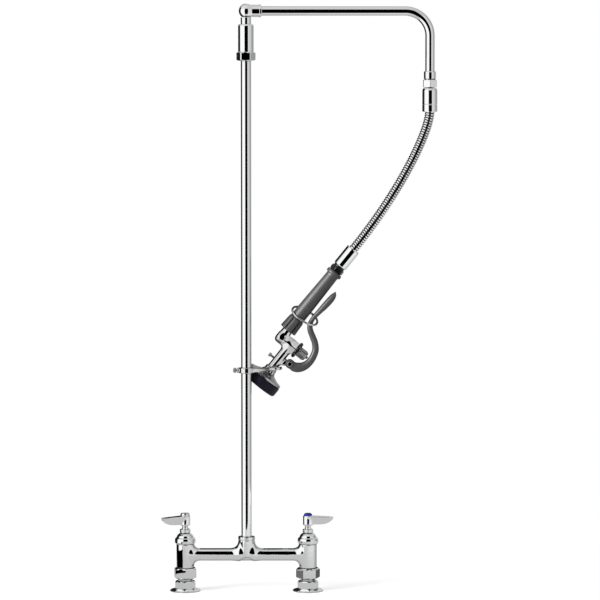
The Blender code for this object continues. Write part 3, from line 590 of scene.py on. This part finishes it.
def handle_field(p):
    """Lever handle: round hub and a boat-shaped blade along +X, flat on top."""
    x, y, z = p.T
    t = np.clip(x / REACH, 0, 1)
    top = 125.4 - 1.6 * t
    depth = 1.8 + 12.2 * (1 - t ** 4.4) ** 0.8
    up = np.clip((z - top + depth) / depth, 0, 1)
    half = (1.7 + 6.2 * np.sqrt(np.maximum(0, 1 - t ** 3))) * (0.3 + 0.7 * up)
    blade = meet(meet(z - top, (top - depth - z) * 0.8, 1.5), (np.abs(y) - half) * 0.9, 1.4)
    blade = meet(meet(blade, x - REACH, 1.5), -x, 1.0)
    hub = rod(p, (0, 0, 109.5), (0, 0, 125.9), 8.3, 1.6)
    d = join(blade, hub, 2.0)
    return cut(d, rod(p, (0, 0, 105), (0, 0, 119), 5.4), 0.3)


def handles():
    """Both lever handles with their index caps, and the rim round the left cap."""
    shape = cast(handle_field, (-10, -10, 107), (44.5, 10, 128), 0.6)
    caps = {"left": [(0, 125.4), (5.3, 125.4, 0.2), (5.3, 126.2, 0.2), (3.0, 126.6, 1.0), (0, 126.7)],
            "right": [(0, 126.0), (6.6, 126.0, 0.2), (6.7, 128.2, 0.9), (4.2, 129.9, 3.0), (0, 130.2)]}
    for side, axis, turn in (("left", LEFT, 205), ("right", RIGHT, 0)):
        place = axis @ Matrix.Rotation(math.radians(turn), 4, "Z")
        piece(f"lever_handle_{side}", shape, place)
        piece(f"index_cap_{side}", lathe(caps[side], sides=48), place)
    rim = [(5.5, 125.7), (7.6, 125.7, 0.3), (7.9, 127.4, 1.0), (6.9, 129.8, 1.2), (5.5, 129.8, 0.8)]
    piece("lever_handle_left", lathe(rim, True), LEFT, name="index_cap_rim", stands_for=[])


def base():
    """Inlets, valve columns, cast body and handles."""
    for side, axis in (("left", LEFT), ("right", RIGHT)):
        inlet(side, axis)
        bonnet(side, axis)
    shape = cast(body_field, (-HALF - 17, -18, 37), (HALF + 17, 18, 93), 0.9)
    piece("mixing_body", shape, RISER, finish="cast_chrome")
    handles()


# ---- riser, swivel and arm ----
def riser():
    """Riser pipe and the outer part of the swivel on it."""
    pipe = [(6.3, 80.5), (8.575, 80.5), (8.575, 883.0), (6.3, 883.0)]
    piece("riser_pipe", lathe(pipe, True, sides=96), RISER)
    nut = [(9.2, 876.4), (13.2, 876.4, 0.5), (15.7, 877.9, 0.5), (15.7, 889.0, 0.5), (13.4, 890.5, 0.5),
           (6.3, 890.5), (6.3, 883.4), (9.2, 883.4)]
    piece("swivel_nut", lathe(nut, True, (13.9, 876.5, 890.4, -3.0, 1.2)), RISER)
    sleeve = [(7.0, 890.9), (12.7, 890.9, 0.3), (12.9, 892.0, 0.3), (12.9, 933.4, 0.5), (11.4, 935.8, 0.5),
              (9.0, 935.8), (9.0, 893.5), (7.0, 893.5)]
    piece("swivel_sleeve", lathe(sleeve, True, sides=96), RISER)


ARM_Z = 957.5                                   # the arm's centre line above the deck
ARM_BEND = 41.0                                 # radius of its bend


def elbow_field(p):
    """Ball elbow with its socket along +X."""
    z = ARM_Z
    d = rod(p, (2, 0, z), (25.0, 0, z), 9.9, 0.6)
    d = join(d, rod(p, (21.4, 0, z), (24.6, 0, z), 10.3, 0.6), 0.6)
    d = join(d, np.linalg.norm(p - np.array([0, 0, z]), axis=1) - 11.75, 2.5)
    d = cut(d, rod(p, (0, 0, 940), (0, 0, 947.3), 9.3))
    d = cut(d, rod(p, (0, 0, 940), (0, 0, z), 5.0))
    d = cut(d, rod(p, (0, 0, z), (30, 0, z), 4.7))
    return cut(d, rod(p, (13.5, 0, z), (30, 0, z), 8.1))


def arm():
    """What turns on the riser: the stem in the sleeve, the elbow, the arm and its outlet collar."""
    stem = [(5.0, 893.8), (8.6, 893.8)]
    for z in (900.0, 915.0):
        stem += [(8.6, z), (7.2, z), (7.2, z + 3), (8.6, z + 3)]
    piece("swivel_stem", lathe(stem + [(8.6, 947.0), (5.0, 947.0)], True, fillet=0.2), ARM)
    piece("ball_elbow", cast(elbow_field, (-13, -13, 943), (27, 13, 971), 0.6), ARM)
    bend, z = ARM_BEND, ARM_Z
    path = [(x, 0, z) for x in np.linspace(14, ARM_REACH - bend, 24)]
    for a in np.linspace(math.pi / 2, 0, 33)[1:]:
        path.append((ARM_REACH - bend + bend * math.cos(a), 0, z - bend + bend * math.sin(a)))
    path += [(ARM_REACH, 0, h) for h in np.linspace(z - bend, 848.5, 10)[1:]]
    piece("arm_tube", swept(path, 7.8, inner=6.4, sides=64), ARM)
    collar = [(5.5, 833.2), (7.6, 833.2), (7.6, 846.3), (9.7, 846.3, 0.3), (10.0, 847.2, 0.3),
              (10.0, 857.2, 0.4), (9.4, 858.5, 0.4), (8.1, 858.5), (8.1, 848.0), (5.5, 848.0)]
    piece("arm_outlet_collar", lathe(collar, True), ARM @ Matrix.Translation((ARM_REACH, 0, 0)))


# ---- hose ----
PITCH = 4.15                                    # of the helical rib
HOSE_OUT, HOSE_IN = 8.1, 5.4                    # radii
GROOVE = 1.3                                    # depth between ribs
GROOVE_HALF = 0.19                              # half its width, as a share of the pitch
GROOVE_SHADE = 0.97                             # painted shade: how much darker the groove's colour is made
PER_PITCH = 20                                  # rows of points to a pitch
LEAD, RISE = 30.0, 130.0                        # how far its curve's handles reach, top and foot


def hose_line():
    """Centre line of the hose in its plane, and the length along it at each point."""
    top = np.array([OUTLET_AT.x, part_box("hose_sleeve_top")[0].z / MM])
    low = VALVE @ Vector((0, 0, HOSE_FOOT))
    foot = np.array([low.x, low.z])
    up = VALVE.to_3x3() @ Vector((0, 0, 1))
    lead, rise = np.array([0, LEAD]), np.array([up.x, up.z]) * RISE
    t = np.linspace(0, 1, 3000)[:, None]
    u = 1 - t
    line = top * u ** 3 + (top - lead) * 3 * u * u * t + (foot + rise) * 3 * u * t * t + foot * t ** 3
    line = np.vstack([top + (0, 9), top + (0, 4.5), line, foot - np.array([up.x, up.z]) * 5,
                      foot - np.array([up.x, up.z]) * 11])
    s = np.concatenate([[0], np.cumsum(np.linalg.norm(np.diff(line, axis=0), axis=1))])
    return line, s


def hose():
    """Interlocked steel hose: one helical rib, in lengths that each span one joint."""
    line, s = hose_line()
    names = ["hose_sway"] + [f"hose_sway_{k}" for k in range(2, 7)]
    marks = []
    for name in names:
        at = spot(name)
        marks.append(s[np.argmin((line[:, 0] - at.x) ** 2 + (line[:, 1] - at.z) ** 2)])
    cuts = [0.0] + [(a + b) / 2 for a, b in zip(marks, marks[1:])] + [s[-1]]
    angles = np.linspace(0, math.tau, 40, endpoint=False)
    for k, name in enumerate(names):
        steps = max(2, int(round((cuts[k + 1] - cuts[k]) / PITCH * PER_PITCH)))
        along = np.linspace(cuts[k], cuts[k + 1], steps + 1)
        x, z = np.interp(along, s, line[:, 0]), np.interp(along, s, line[:, 1])
        tx = np.interp(along + 0.4, s, line[:, 0]) - np.interp(along - 0.4, s, line[:, 0])
        tz = np.interp(along + 0.4, s, line[:, 1]) - np.interp(along - 0.4, s, line[:, 1])
        size = np.hypot(tx, tz)
        nx, nz = tz / size, -tx / size
        turn = (along[:, None] / PITCH + angles[None, :] / math.tau) % 1.0
        groove = np.exp(-((turn - 0.5) / GROOVE_HALF) ** 8)
        radius = HOSE_OUT - GROOVE * groove
        rows = []
        for r in (radius, np.full_like(radius, HOSE_IN)):
            cx = x[:, None] + r * np.cos(angles) * nx[:, None]
            cz = z[:, None] + r * np.cos(angles) * nz[:, None]
            cy = OUTLET_AT.y + r * np.sin(angles)
            rows.append(np.stack([cx, cy, cz], -1))
        shape = skin(np.concatenate([rows[0], rows[1][::-1]]), wrap=True)
        joint = JOINTS[name]
        last = k == len(names) - 1
        stands = [f"hose_segment_{k + 1}"] + ([f"hose_segment_{k + 2}"] if last else [])
        obj = piece(f"hose_segment_{k + 1}", shape, Matrix.Identity(4), "hose_steel", f"hose_length_{k + 1}",
                    stands_for=stands, body="blend", sharp=35)
        # painted shade: the grooves' colour is darkened through the mesh's "shade" layer
        shade = obj.data.color_attributes.new("shade", "FLOAT_COLOR", "POINT")
        deep = np.concatenate([groove.ravel(), np.ones(radius.size)])
        grey = np.repeat((1 - GROOVE_SHADE * deep)[:, None], 4, 1)
        grey[:, 3] = 1
        shade.data.foreach_set("color", grey.ravel())
        axis = Vector(joint["axis"])
        along_hose = Vector((0, 1, 0)).cross(axis)
        if along_hose.z > 0:
            along_hose = -along_hose
        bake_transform(obj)


def hose_ends():
    """Swivel nut and sleeves at the hose's two ends."""
    nut = [(8.2, 832.0), (10.4, 832.0, 0.3), (12.5, 833.2, 0.4), (12.5, 843.6, 0.4), (10.4, 844.9, 0.4),
           (8.2, 844.9)]
    piece("outlet_swivel_nut", lathe(nut, True, (11.0, 832.1, 844.8, 31.0, 0.7)), OUTLET)
    washer = [(5.6, 844.95), (9.2, 844.95, 0.2), (9.2, 846.2, 0.2), (7.75, 846.2), (7.75, 845.4),
              (5.6, 845.4)]
    piece("hose_washer", lathe(washer, True), OUTLET, name="outlet_seal", stands_for=[], finish="black")
    sleeve = [(8.5, 792.1), (12.2, 792.1, 0.4), (12.5, 793.2, 0.4), (12.5, 803.2, 0.2), (12.15, 803.7, 0.1),
              (12.15, 804.5, 0.1), (12.5, 805.0, 0.2), (12.5, 827.4, 0.6), (11.2, 830.6, 0.8),
              (5.0, 830.6), (5.0, 804.0), (8.5, 804.0)]
    piece("hose_sleeve_top", lathe(sleeve, True, sides=96), OUTLET)
    low = [(5.0, 137.2), (10.9, 137.2, 0.6), (11.7, 138.6, 0.6), (11.7, 171.4, 0.5), (11.2, 172.8, 0.5),
           (8.5, 172.8), (8.5, 160.0), (5.0, 160.0)]
    piece("hose_sleeve_bottom", lathe(low, True, sides=96), VALVE)
    end = [(7.4, 125.5), (10.4, 125.6, 0.4), (12.2, 126.8, 0.4), (12.2, 132.2, 0.5), (10.9, 133.6, 0.4),
           (9.8, 134.4, 0.4), (9.8, 136.9, 0.3), (7.4, 136.9)]
    piece("hose_end_nut", lathe(end, True, (10.9, 125.6, 133.9, 12.0, 0.6)), VALVE)


# ---- spray valve ----
def grip():
    """Grip with a fluted foot and a bead at its top."""
    shape = [(7.2, 0), (14.6, 0, 0.5), (14.9, 1.0, 0.5), (13.7, 21.0, 1.0), (13.3, 23.6, 1.6),
             (12.0, 25.4, 0.8), (12.1, 45.0, 8.0), (11.3, 85.0, 12.0), (10.6, 115.5, 2.0),
             (10.9, 118.3, 1.0), (13.2, 119.0, 1.2), (13.9, 121.6, 1.6), (13.2, 124.2, 1.2),
             (11.8, 125.0, 0.6), (7.2, 125.0)]
    shape = lathe(shape, True, sides=192, flutes=(6, 3.2, -1.0, 25.0, -117.0, 9))
    piece("grip", shape, VALVE)


def spray_body_field(p):
    """Spray valve's body: rounded heel, hexagonal barrel, neck, nose and the lever's lug."""
    z = BARREL_Z - 0.2
    x, y, h = p.T
    heel = rod(p, (-9.6, 0, z), (9.0, 0, z), 10.4, 7.0)
    ridge = np.hypot(h - z, 1.2)
    facets = np.maximum(np.abs(h - z), ridge * 0.5 + np.abs(y) * 0.866) - 10.4
    barrel = meet(facets, np.abs(x - 17.4) - 12.6, 0.8)
    d = join(heel, barrel, 1.2)
    d = join(d, rod(p, (0, 0, -12), (0, 0, -0.3), 8.9, 0.4), 2.5)
    nose = taper(p, (NOSE_X, 0, -16), (NOSE_X, 0, -66), 8.8, 7.9)
    nose = meet(nose, -65.5 - h, 0.5)
    d = join(d, nose, 6.0)
    lug = meet(taper(p, (24.0, 0, -47.5), (PIVOT.x, 0, PIVOT.z), 6.0, 5.0), np.abs(y) - 4.0, 0.6)
    d = join(d, lug, 3.0)
    d = join(d, rod(p, (NOSE_X, 0, -64.2), (NOSE_X, 0, -65.4), 8.7, 0.4), 0.5)
    d = cut(d, rod(p, (3, 0, z), (34, 0, z), 6.9))
    d = cut(d, rod(p, (0, 0, -4.8), (0, 0, 4), 7.2))
    d = cut(d, rod(p, (0, 0, z), (0, 0, 4), 4.6))
    d = cut(d, rod(p, (NOSE_X, 0, -70), (NOSE_X, 0, z), 5.5))
    return cut(d, rod(p, (PIVOT.x, -10, PIVOT.z), (PIVOT.x, 10, PIVOT.z), 2.8))


def spray_valve():
    """Valve body, its ribbed bonnet, the stem, the lever's screw and the peg on the nose."""
    shape = cast(spray_body_field, (-12, -15, -68), (46, 15, 1.5), 0.6)
    piece("spray_valve_body", shape, VALVE, finish="valve_chrome")
    flange = [(5.2, 18.0), (6.6, 18.0), (6.6, 30.3), (12.4, 30.4, 0.4), (14.4, 31.4, 0.4), (14.4, 34.8, 0.4),
              (12.6, 35.8, 0.4), (8.4, 36.2, 0.4), (8.7, 39.5, 0.4), (8.7, 48.2, 1.2), (6.0, 51.8, 1.5),
              (2.9, 51.8), (2.9, 43.0), (5.2, 41.0)]
    shape = lathe(flange, True, (12.7, 30.4, 35.7, 0.0, 1.4), flutes=(18, 0.7, 36.6, 50.5, 0.0, 1))
    piece("valve_bonnet", shape, BARREL, finish="ribbed")
    stem = [(0, 6.0), (4.6, 6.0), (4.6, 9.0), (2.4, 9.4), (2.4, 36.7), (4.6, 37.0), (4.6, 38.8), (2.5, 39.2),
            (2.5, 53.6), (1.4, 54.8, 0.6), (0, 54.8)]
    piece("valve_plunger", lathe(stem, False, sides=40, fillet=0.2), BARREL)
    at = VALVE @ Matrix.Translation(PIVOT) @ ALONG_Y
    screw = [(0, -10.5), (3.9, -10.3, 0.7), (4.3, -8.6, 0.2), (2.5, -8.6), (2.5, 8.6), (4.3, 8.6, 0.2),
             (3.9, 10.3, 0.7), (0, 10.5)]
    piece("lever_screw", lathe(screw, False, sides=40, fillet=0.15), at)
    peg = [(0, -8.2), (2.6, -8.2, 1.2), (3.6, -6.8, 1.2), (3.4, -4.9, 1.0), (2.0, -4.0, 0.4), (1.9, 3.0),
           (0, 3.0)]
    at = VALVE @ Matrix.Translation((NOSE_X - 10, 0, -50)) @ ALONG_X
    piece("hanging_peg", lathe(peg, False, sides=40), at, finish="satin_chrome")


def face_field(p):
    """Perforated face."""
    x, y, z = p.T
    r = np.hypot(x, y)
    d = np.maximum(z + 95.9 + 0.12 * r, -z - 98.6) * 0.98
    d = np.maximum(d, r - 22.5)
    d = join(d, np.maximum(np.maximum(r - 22.5, 19.2 - r), np.abs(z + 91.8) - 6.8), 0.8)
    for k in range(8):
        a = math.tau * (k + 0.5) / 8
        d = cut(d, np.hypot(x - 11 * math.cos(a), y - 11 * math.sin(a)) - 1.4)
    return cut(d, r - 2.1)


def spray_head():
    """Domed shell with its small screw, rubber bumper, face and the face's screw."""
    shell = [(8.8, -65.0), (10.2, -65.4, 0.5), (10.4, -70.6, 1.5), (12.6, -74.6, 3.0), (20.0, -78.0, 6.0),
             (27.2, -81.0, 0.8), (28.2, -80.4, 0.8), (30.6, -80.9, 1.2), (31.7, -84.0, 0.3), (29.0, -84.6),
             (16.0, -79.0), (8.8, -75.0)]
    piece("spray_shell", lathe(shell, True, sides=96), NOSE, finish="satin_chrome")
    bead = [(0, 0), (1.8, 0), (1.8, 0.6, 0.4), (3.3, 1.9, 1.6), (3.3, 4.3, 1.6), (1.7, 5.9, 1.2), (0, 6.1)]
    at = VALVE @ Matrix.Translation((23.0, -9.6, -72.0)) @ Matrix.Rotation(math.radians(78), 4, "X")
    piece("spray_shell", lathe(bead, sides=40), at, name="shell_screw", stands_for=[], finish="chrome")
    ring = [(23.5, -85.2), (31.4, -85.3, 0.8), (32.2, -86.4, 0.8), (32.2, -99.4, 1.2), (30.4, -101.8, 1.0),
            (25.0, -102.0, 0.6), (23.5, -100.6, 0.4)]
    piece("bumper", lathe(ring, True, sides=96), NOSE)
    piece("spray_face", cast(face_field, (-24, -24, -100), (24, 24, -83), 0.7), NOSE)
    screw = [(0, -98.9), (3.2, -98.8, 0.5), (3.9, -97.6, 0.4), (3.9, -96.4), (1.8, -96.4), (1.8, -88.0),
             (0, -88.0)]
    piece("face_screw", lathe(screw, False, sides=40, fillet=0.15), NOSE)


# along the lever in the valve's frame: x, z, half thickness, half width
LEVER = [(37.8, -41.4, 7.2, 7.9), (45.4, -40.8, 8.1, 7.9), (52.2, -37.7, 8.1, 7.8), (58.3, -30.6, 7.2, 7.2),
         (61.4, -20.4, 6.2, 6.7), (60.8, -9.0, 5.8, 6.5), (56.7, 2.9, 5.6, 6.4), (48.3, 11.9, 5.3, 6.2),
         (38.6, 17.8, 5.1, 6.0), (28.6, 23.8, 4.8, 5.8), (22.3, 32.0, 4.2, 5.6), (20.3, 43.0, 3.7, 6.2),
         (21.2, 56.0, 4.4, 7.6), (22.4, 69.0, 5.4, 8.4), (23.3, 84.0, 5.6, 8.4), (23.0, 93.0, 4.2, 7.0),
         (22.2, 97.6, 1.6, 4.2)]
LEVER_PATH = spline(LEVER, 8)


def lever_field(p):
    """Squeeze lever: forked foot on the lug, hooked round the barrel, flat pad along the grip."""
    x, y, z = p.T
    d = bar_field(p[:, [0, 2]], y, LEVER_PATH, 2.6)
    d = join(d, rod(p, (PIVOT.x, -7.9, PIVOT.z), (PIVOT.x, 7.9, PIVOT.z), 7.2, 1.0), 2.0)
    lip = rod(p, (18.5, -4.4, 44.2), (18.5, 4.4, 44.2), 1.7, 0.8)
    d = join(d, lip, 2.4)
    d = cut(d, block(p, (36.0, 0, -41.4), (10.3, 4.4, 14.0)), 0.4)
    return cut(d, rod(p, (PIVOT.x, -15, PIVOT.z), (PIVOT.x, 15, PIVOT.z), 2.9))


def lever_and_ring():
    """Squeeze lever, and the wire ring round it and the grip."""
    shape = cast(lever_field, (10, -11, -52), (70, 11, 101), 0.75)
    piece("squeeze_lever", shape, VALVE)
    half_long, half_wide = 23.4, 17.0
    straight = half_long - half_wide
    loop = [(straight + half_wide * math.cos(a), half_wide * math.sin(a), 0)
            for a in np.linspace(-math.pi / 2, math.pi / 2, 40)]
    loop += [(-x, -y, 0) for x, y, _ in loop]
    lean = Matrix.Rotation(math.radians(-7.8), 4, "Y") @ Matrix.Rotation(math.radians(28), 4, "X")
    place = VALVE @ Matrix.Translation((7.1, 0, 36.3)) @ lean
    piece("hold_down_ring", swept(loop, 1.8, closed=True, sides=24, binormal=(0, 0, 1)), place,
          finish="valve_chrome")


# ---- finger hook ----
HOOK_Z = 367.2                                  # height of the hook's clamp
# along the finger, from above: x, y, half thickness, half height
FINGER = [(8.0, -3.6, 2.7, 3.6), (14.0, -2.0, 2.5, 3.5), (20.0, 1.0, 2.4, 3.4), (29.0, 9.0, 2.3, 3.2),
          (37.0, 18.0, 2.2, 3.0), (44.0, 22.5, 2.1, 2.8), (51.0, 24.5, 2.0, 2.6), (55.3, 28.5, 2.0, 2.5),
          (56.8, 34.5, 1.9, 2.4), (56.8, 39.0, 1.8, 2.3)]
FINGER_PATH = spline(FINGER, 10)


def hook_field(p):
    """Clamp round the riser with its curved finger and the screw's ear."""
    z = p[:, 2]
    d = rod(p, (0, 0, HOOK_Z - 4.5), (0, 0, HOOK_Z + 4.5), 12.0, 1.0)
    d = join(d, bar_field(p[:, :2], z - HOOK_Z, FINGER_PATH, 2.6), 3.0)
    d = join(d, rod(p, (-15.6, 0, HOOK_Z), (-9, 0, HOOK_Z), 4.2, 1.2), 1.5)
    d = cut(d, rod(p, (-22, 0, HOOK_Z), (0, 0, HOOK_Z), 2.2))
    return cut(d, rod(p, (0, 0, HOOK_Z - 9), (0, 0, HOOK_Z + 9), 8.85))


def hook():
    """Hook and its thumb screw."""
    shape = cast(hook_field, (-21, -14, HOOK_Z - 7), (61, 44, HOOK_Z + 7), 0.6)
    piece("finger_hook", shape, RISER, finish="valve_chrome")
    screw = [(0, -21.8), (2.4, -21.8, 0.8), (4.2, -20.4, 1.4), (4.2, -17.6, 0.8), (3.4, -16.6), (1.9, -16.6),
             (1.9, -9.2), (0, -9.2)]
    shape = lathe(screw, False, sides=96, fillet=0.2, flutes=(16, 0.5, -21.2, -16.9, 0, 1))
    piece("hook_screw", shape, RISER @ Matrix.Translation((0, 0, HOOK_Z)) @ ALONG_X, finish="satin_chrome")


# ---- stage ----
def ramp(tree, stops, value):
    """Grey ramp over a value from 0 to 1."""
    n = node(tree, "ShaderNodeValToRGB")
    n.color_ramp.interpolation = "EASE"
    while len(n.color_ramp.elements) < len(stops):
        n.color_ramp.elements.new(0.5)
    for e, (at, grey) in zip(n.color_ramp.elements, stops):
        e.position = at
        e.color = (grey, grey, grey, 1)
    tree.links.new(value, n.inputs["Fac"])
    return n.outputs["Color"]


def maths(tree, kind, a, b=0.0):
    """Result of a maths node on two numbers or sockets."""
    n = node(tree, "ShaderNodeMath", operation=kind)
    for k, v in enumerate((a, b)):
        if isinstance(v, (int, float)):
            n.inputs[k].default_value = v
        else:
            tree.links.new(v, n.inputs[k])
    return n.outputs[0]


# the studio's brightness round the object: degrees to the right of the camera's side, brightness
AROUND = [(-180, 0.015), (-97, 0.015), (-88, 1.0), (-23, 1.0), (-19, 0.0), (29, 0.0), (33, 0.74), (60, 0.62),
          (80, 0.58), (98, 0.30), (125, 0.34), (150, 0.62), (180, 0.55)]
WHITE = 1.0


def world():
    """Plain white to the camera, and the studio's brightness round the object to everything else."""
    w = bpy.data.worlds.new("studio")
    bpy.context.scene.world = w
    w.use_nodes = True
    w.cycles.sampling_method = "NONE"
    tree = w.node_tree
    shine = tree.nodes["Background"]
    where = node(tree, "ShaderNodeTexCoord")
    part = node(tree, "ShaderNodeSeparateXYZ")
    tree.links.new(where.outputs["Generated"], part.inputs[0])
    back = maths(tree, "MULTIPLY", part.outputs["Y"], -1.0)
    turn = maths(tree, "ARCTAN2", part.outputs["X"], back)
    share = maths(tree, "ADD", maths(tree, "DIVIDE", turn, math.tau), 0.5)
    band = ramp(tree, [((a + 180) / 360, g) for a, g in AROUND], share)
    ray = node(tree, "ShaderNodeLightPath")
    seen = node(tree, "ShaderNodeMix", data_type="RGBA")
    tree.links.new(ray.outputs["Is Camera Ray"], seen.inputs["Factor"])
    tree.links.new(band, seen.inputs[6])
    seen.inputs[7].default_value = (WHITE, WHITE, WHITE, 1)
    tree.links.new(seen.outputs[2], shine.inputs["Color"])


def card(name, corners, levels):
    """Studio card that only reflections see, with a brightness at each corner."""
    mesh = bpy.data.meshes.new(name)
    mesh.from_pydata(corners, [], [tuple(range(len(corners)))])
    shade = mesh.color_attributes.new("level", "FLOAT_COLOR", "POINT")
    for item, level in zip(shade.data, levels):
        item.color = (level, level, level, 1)
    m = bpy.data.materials.new(name)
    m.use_nodes = True
    m.cycles.emission_sampling = "NONE"
    tree = m.node_tree
    glow = node(tree, "ShaderNodeEmission")
    level = node(tree, "ShaderNodeVertexColor", layer_name="level")
    tree.links.new(level.outputs["Color"], glow.inputs["Color"])
    tree.links.new(glow.outputs[0], tree.nodes["Material Output"].inputs["Surface"])
    mesh.materials.append(m)
    obj = bpy.data.objects.new(name, mesh)
    bpy.context.scene.collection.objects.link(obj)
    obj.visible_camera = obj.visible_diffuse = obj.visible_shadow = obj.visible_transmission = False


# dark flags beside the inlets, in metres: name, joint whose axis they are placed from, the two ends
# from that axis, low, high, brightness
FLAGS = [("left_outer_flag", "handle_left_turn", (-0.075, -0.14), (-0.14, 0.14), 0.014, 0.055, 0.0),
         ("right_inner_flag", "handle_right_turn", (-0.10, -0.012), (-0.125, 0.10), 0.0, 0.0205, 0.15),
         ("right_outer_flag", "handle_right_turn", (0.040, -0.02), (0.060, 0.10), 0.012, 0.030, 0.10)]


TABLE_Z, OVERHEAD_Z = -0.001, 2.0


def cards():
    """Table top and overhead light as the chrome sees them, and the flags."""
    x, y = RISER_AT.x * MM, RISER_AT.y * MM
    near, left, right, back = y - 0.70, x - 0.32, x + 1.2, y + 1.2
    table = [(left, near), (right, near), (right, back), (left, back)]
    card("table_card", [(a, b, TABLE_Z) for a, b in table], [0.58, 1.10, 0.45, 0.40])
    front, back, left, right = y - 1.30, y + 1.4, x - 1.6, x + 1.6
    overhead = [(left, front), (left, back), (right, back), (right, front)]
    card("overhead_card", [(a, b, OVERHEAD_Z) for a, b in overhead], [0.95, 0.45, 0.38, 0.50])
    for name, joint, near_end, far_end, low, high, level in FLAGS:
        at = spot(joint).x * MM
        start = (at + near_end[0], y + near_end[1])
        end = (at + far_end[0], y + far_end[1])
        card(name, [(*end, low), (*start, low), (*start, high), (*end, high)], [level] * 4)


FLOOR_SIZE = 30.0                               # radius, in metres
FADE_FROM, FADE_TO = 0.05, 0.7                  # where the floor fades to white, from the origin
FADE_LEAST = 0.7                                # how white it is at the object


def floor():
    """Pale floor that fades into the white background."""
    mesh = bpy.data.meshes.new("floor")
    outline = circle(96) * FLOOR_SIZE
    mesh.from_pydata([(x, y, 0) for x, y in outline], [], [list(range(96))])
    obj = bpy.data.objects.new("floor", mesh)
    bpy.context.scene.collection.objects.link(obj)
    m = bpy.data.materials.new("floor")
    m.use_nodes = True
    tree = m.node_tree
    shader = tree.nodes["Principled BSDF"]
    shader.inputs["Base Color"].default_value = (0.93, 0.93, 0.93, 1)
    shader.inputs["Roughness"].default_value = 0.8
    glow = node(tree, "ShaderNodeEmission", Color=(WHITE, WHITE, WHITE, 1))
    where = node(tree, "ShaderNodeTexCoord")
    length = node(tree, "ShaderNodeVectorMath", operation="LENGTH")
    tree.links.new(where.outputs["Object"], length.inputs[0])
    fade = node(tree, "ShaderNodeMapRange", interpolation_type="SMOOTHSTEP")
    fade.inputs["From Min"].default_value = FADE_FROM
    fade.inputs["From Max"].default_value = FADE_TO
    fade.inputs["To Min"].default_value = FADE_LEAST
    tree.links.new(length.outputs["Value"], fade.inputs["Value"])
    mix = node(tree, "ShaderNodeMixShader")
    tree.links.new(fade.outputs["Result"], mix.inputs[0])
    tree.links.new(shader.outputs[0], mix.inputs[1])
    tree.links.new(glow.outputs[0], mix.inputs[2])
    tree.links.new(mix.outputs[0], tree.nodes["Material Output"].inputs["Surface"])
    mesh.materials.append(m)
    obj.visible_glossy = False
    LIT.append(obj)


LAMP_AIM = Vector((0, 0, 0.45))                 # what the lamps point at


def light(name, place, size, power):
    """Square lamp that lights only the pieces in LIT, so it adds no highlight to the metal."""
    lamp = bpy.data.lights.new(name, "AREA")
    lamp.size, lamp.energy = size, power
    obj = bpy.data.objects.new(name, lamp)
    bpy.context.scene.collection.objects.link(obj)
    obj.location = place
    obj.rotation_mode = "QUATERNION"
    obj.rotation_quaternion = (LAMP_AIM - Vector(place)).to_track_quat("-Z", "Y")
    obj.light_linking.receiver_collection = bpy.data.collections.new(name + "_lights")
    for piece_lit in LIT:
        obj.light_linking.receiver_collection.objects.link(piece_lit)


CAMERA_FAR = 5.7                                # metres from what it looks at
CAMERA_RISE = math.radians(4.7)                 # how far it looks down
CAMERA_OFF = Vector((0.0011, 0, -0.0030))       # its aim, from the middle of the CAD box


def camera():
    """Camera as far off, as high and as narrow as the photograph's seems to be."""
    data = bpy.data.cameras.new("camera")
    data.sensor_width, data.lens = 36.0, 207.0
    data.clip_end = 80
    cam = bpy.data.objects.new("camera", data)
    bpy.context.scene.collection.objects.link(cam)
    aim = (cad_lo + cad_hi) / 2 + CAMERA_OFF
    cam.location = aim + Vector((0, -math.cos(CAMERA_RISE), math.sin(CAMERA_RISE))) * CAMERA_FAR
    cam.rotation_mode = "QUATERNION"
    cam.rotation_quaternion = (aim - cam.location).to_track_quat("-Z", "Y")
    bpy.context.scene.camera = cam


all_finishes()
base()
riser()
arm()
hose()
hose_ends()
grip()
spray_valve()
spray_head()
lever_and_ring()
hook()
# the CAD's own solids, since those that no piece stands for are shown
for name, obj in frame["nodes"].items():
    for held in obj.material_slots:
        held.material = FINISH[SLOT_OF[name]]
world()
cards()
floor()
light("key", (-2.3, -1.5, 1.3), 1.2, 190)
light("top", (0.3, -0.4, 2.6), 1.6, 30)
camera()
bpy.context.scene.view_settings.view_transform = "Standard"
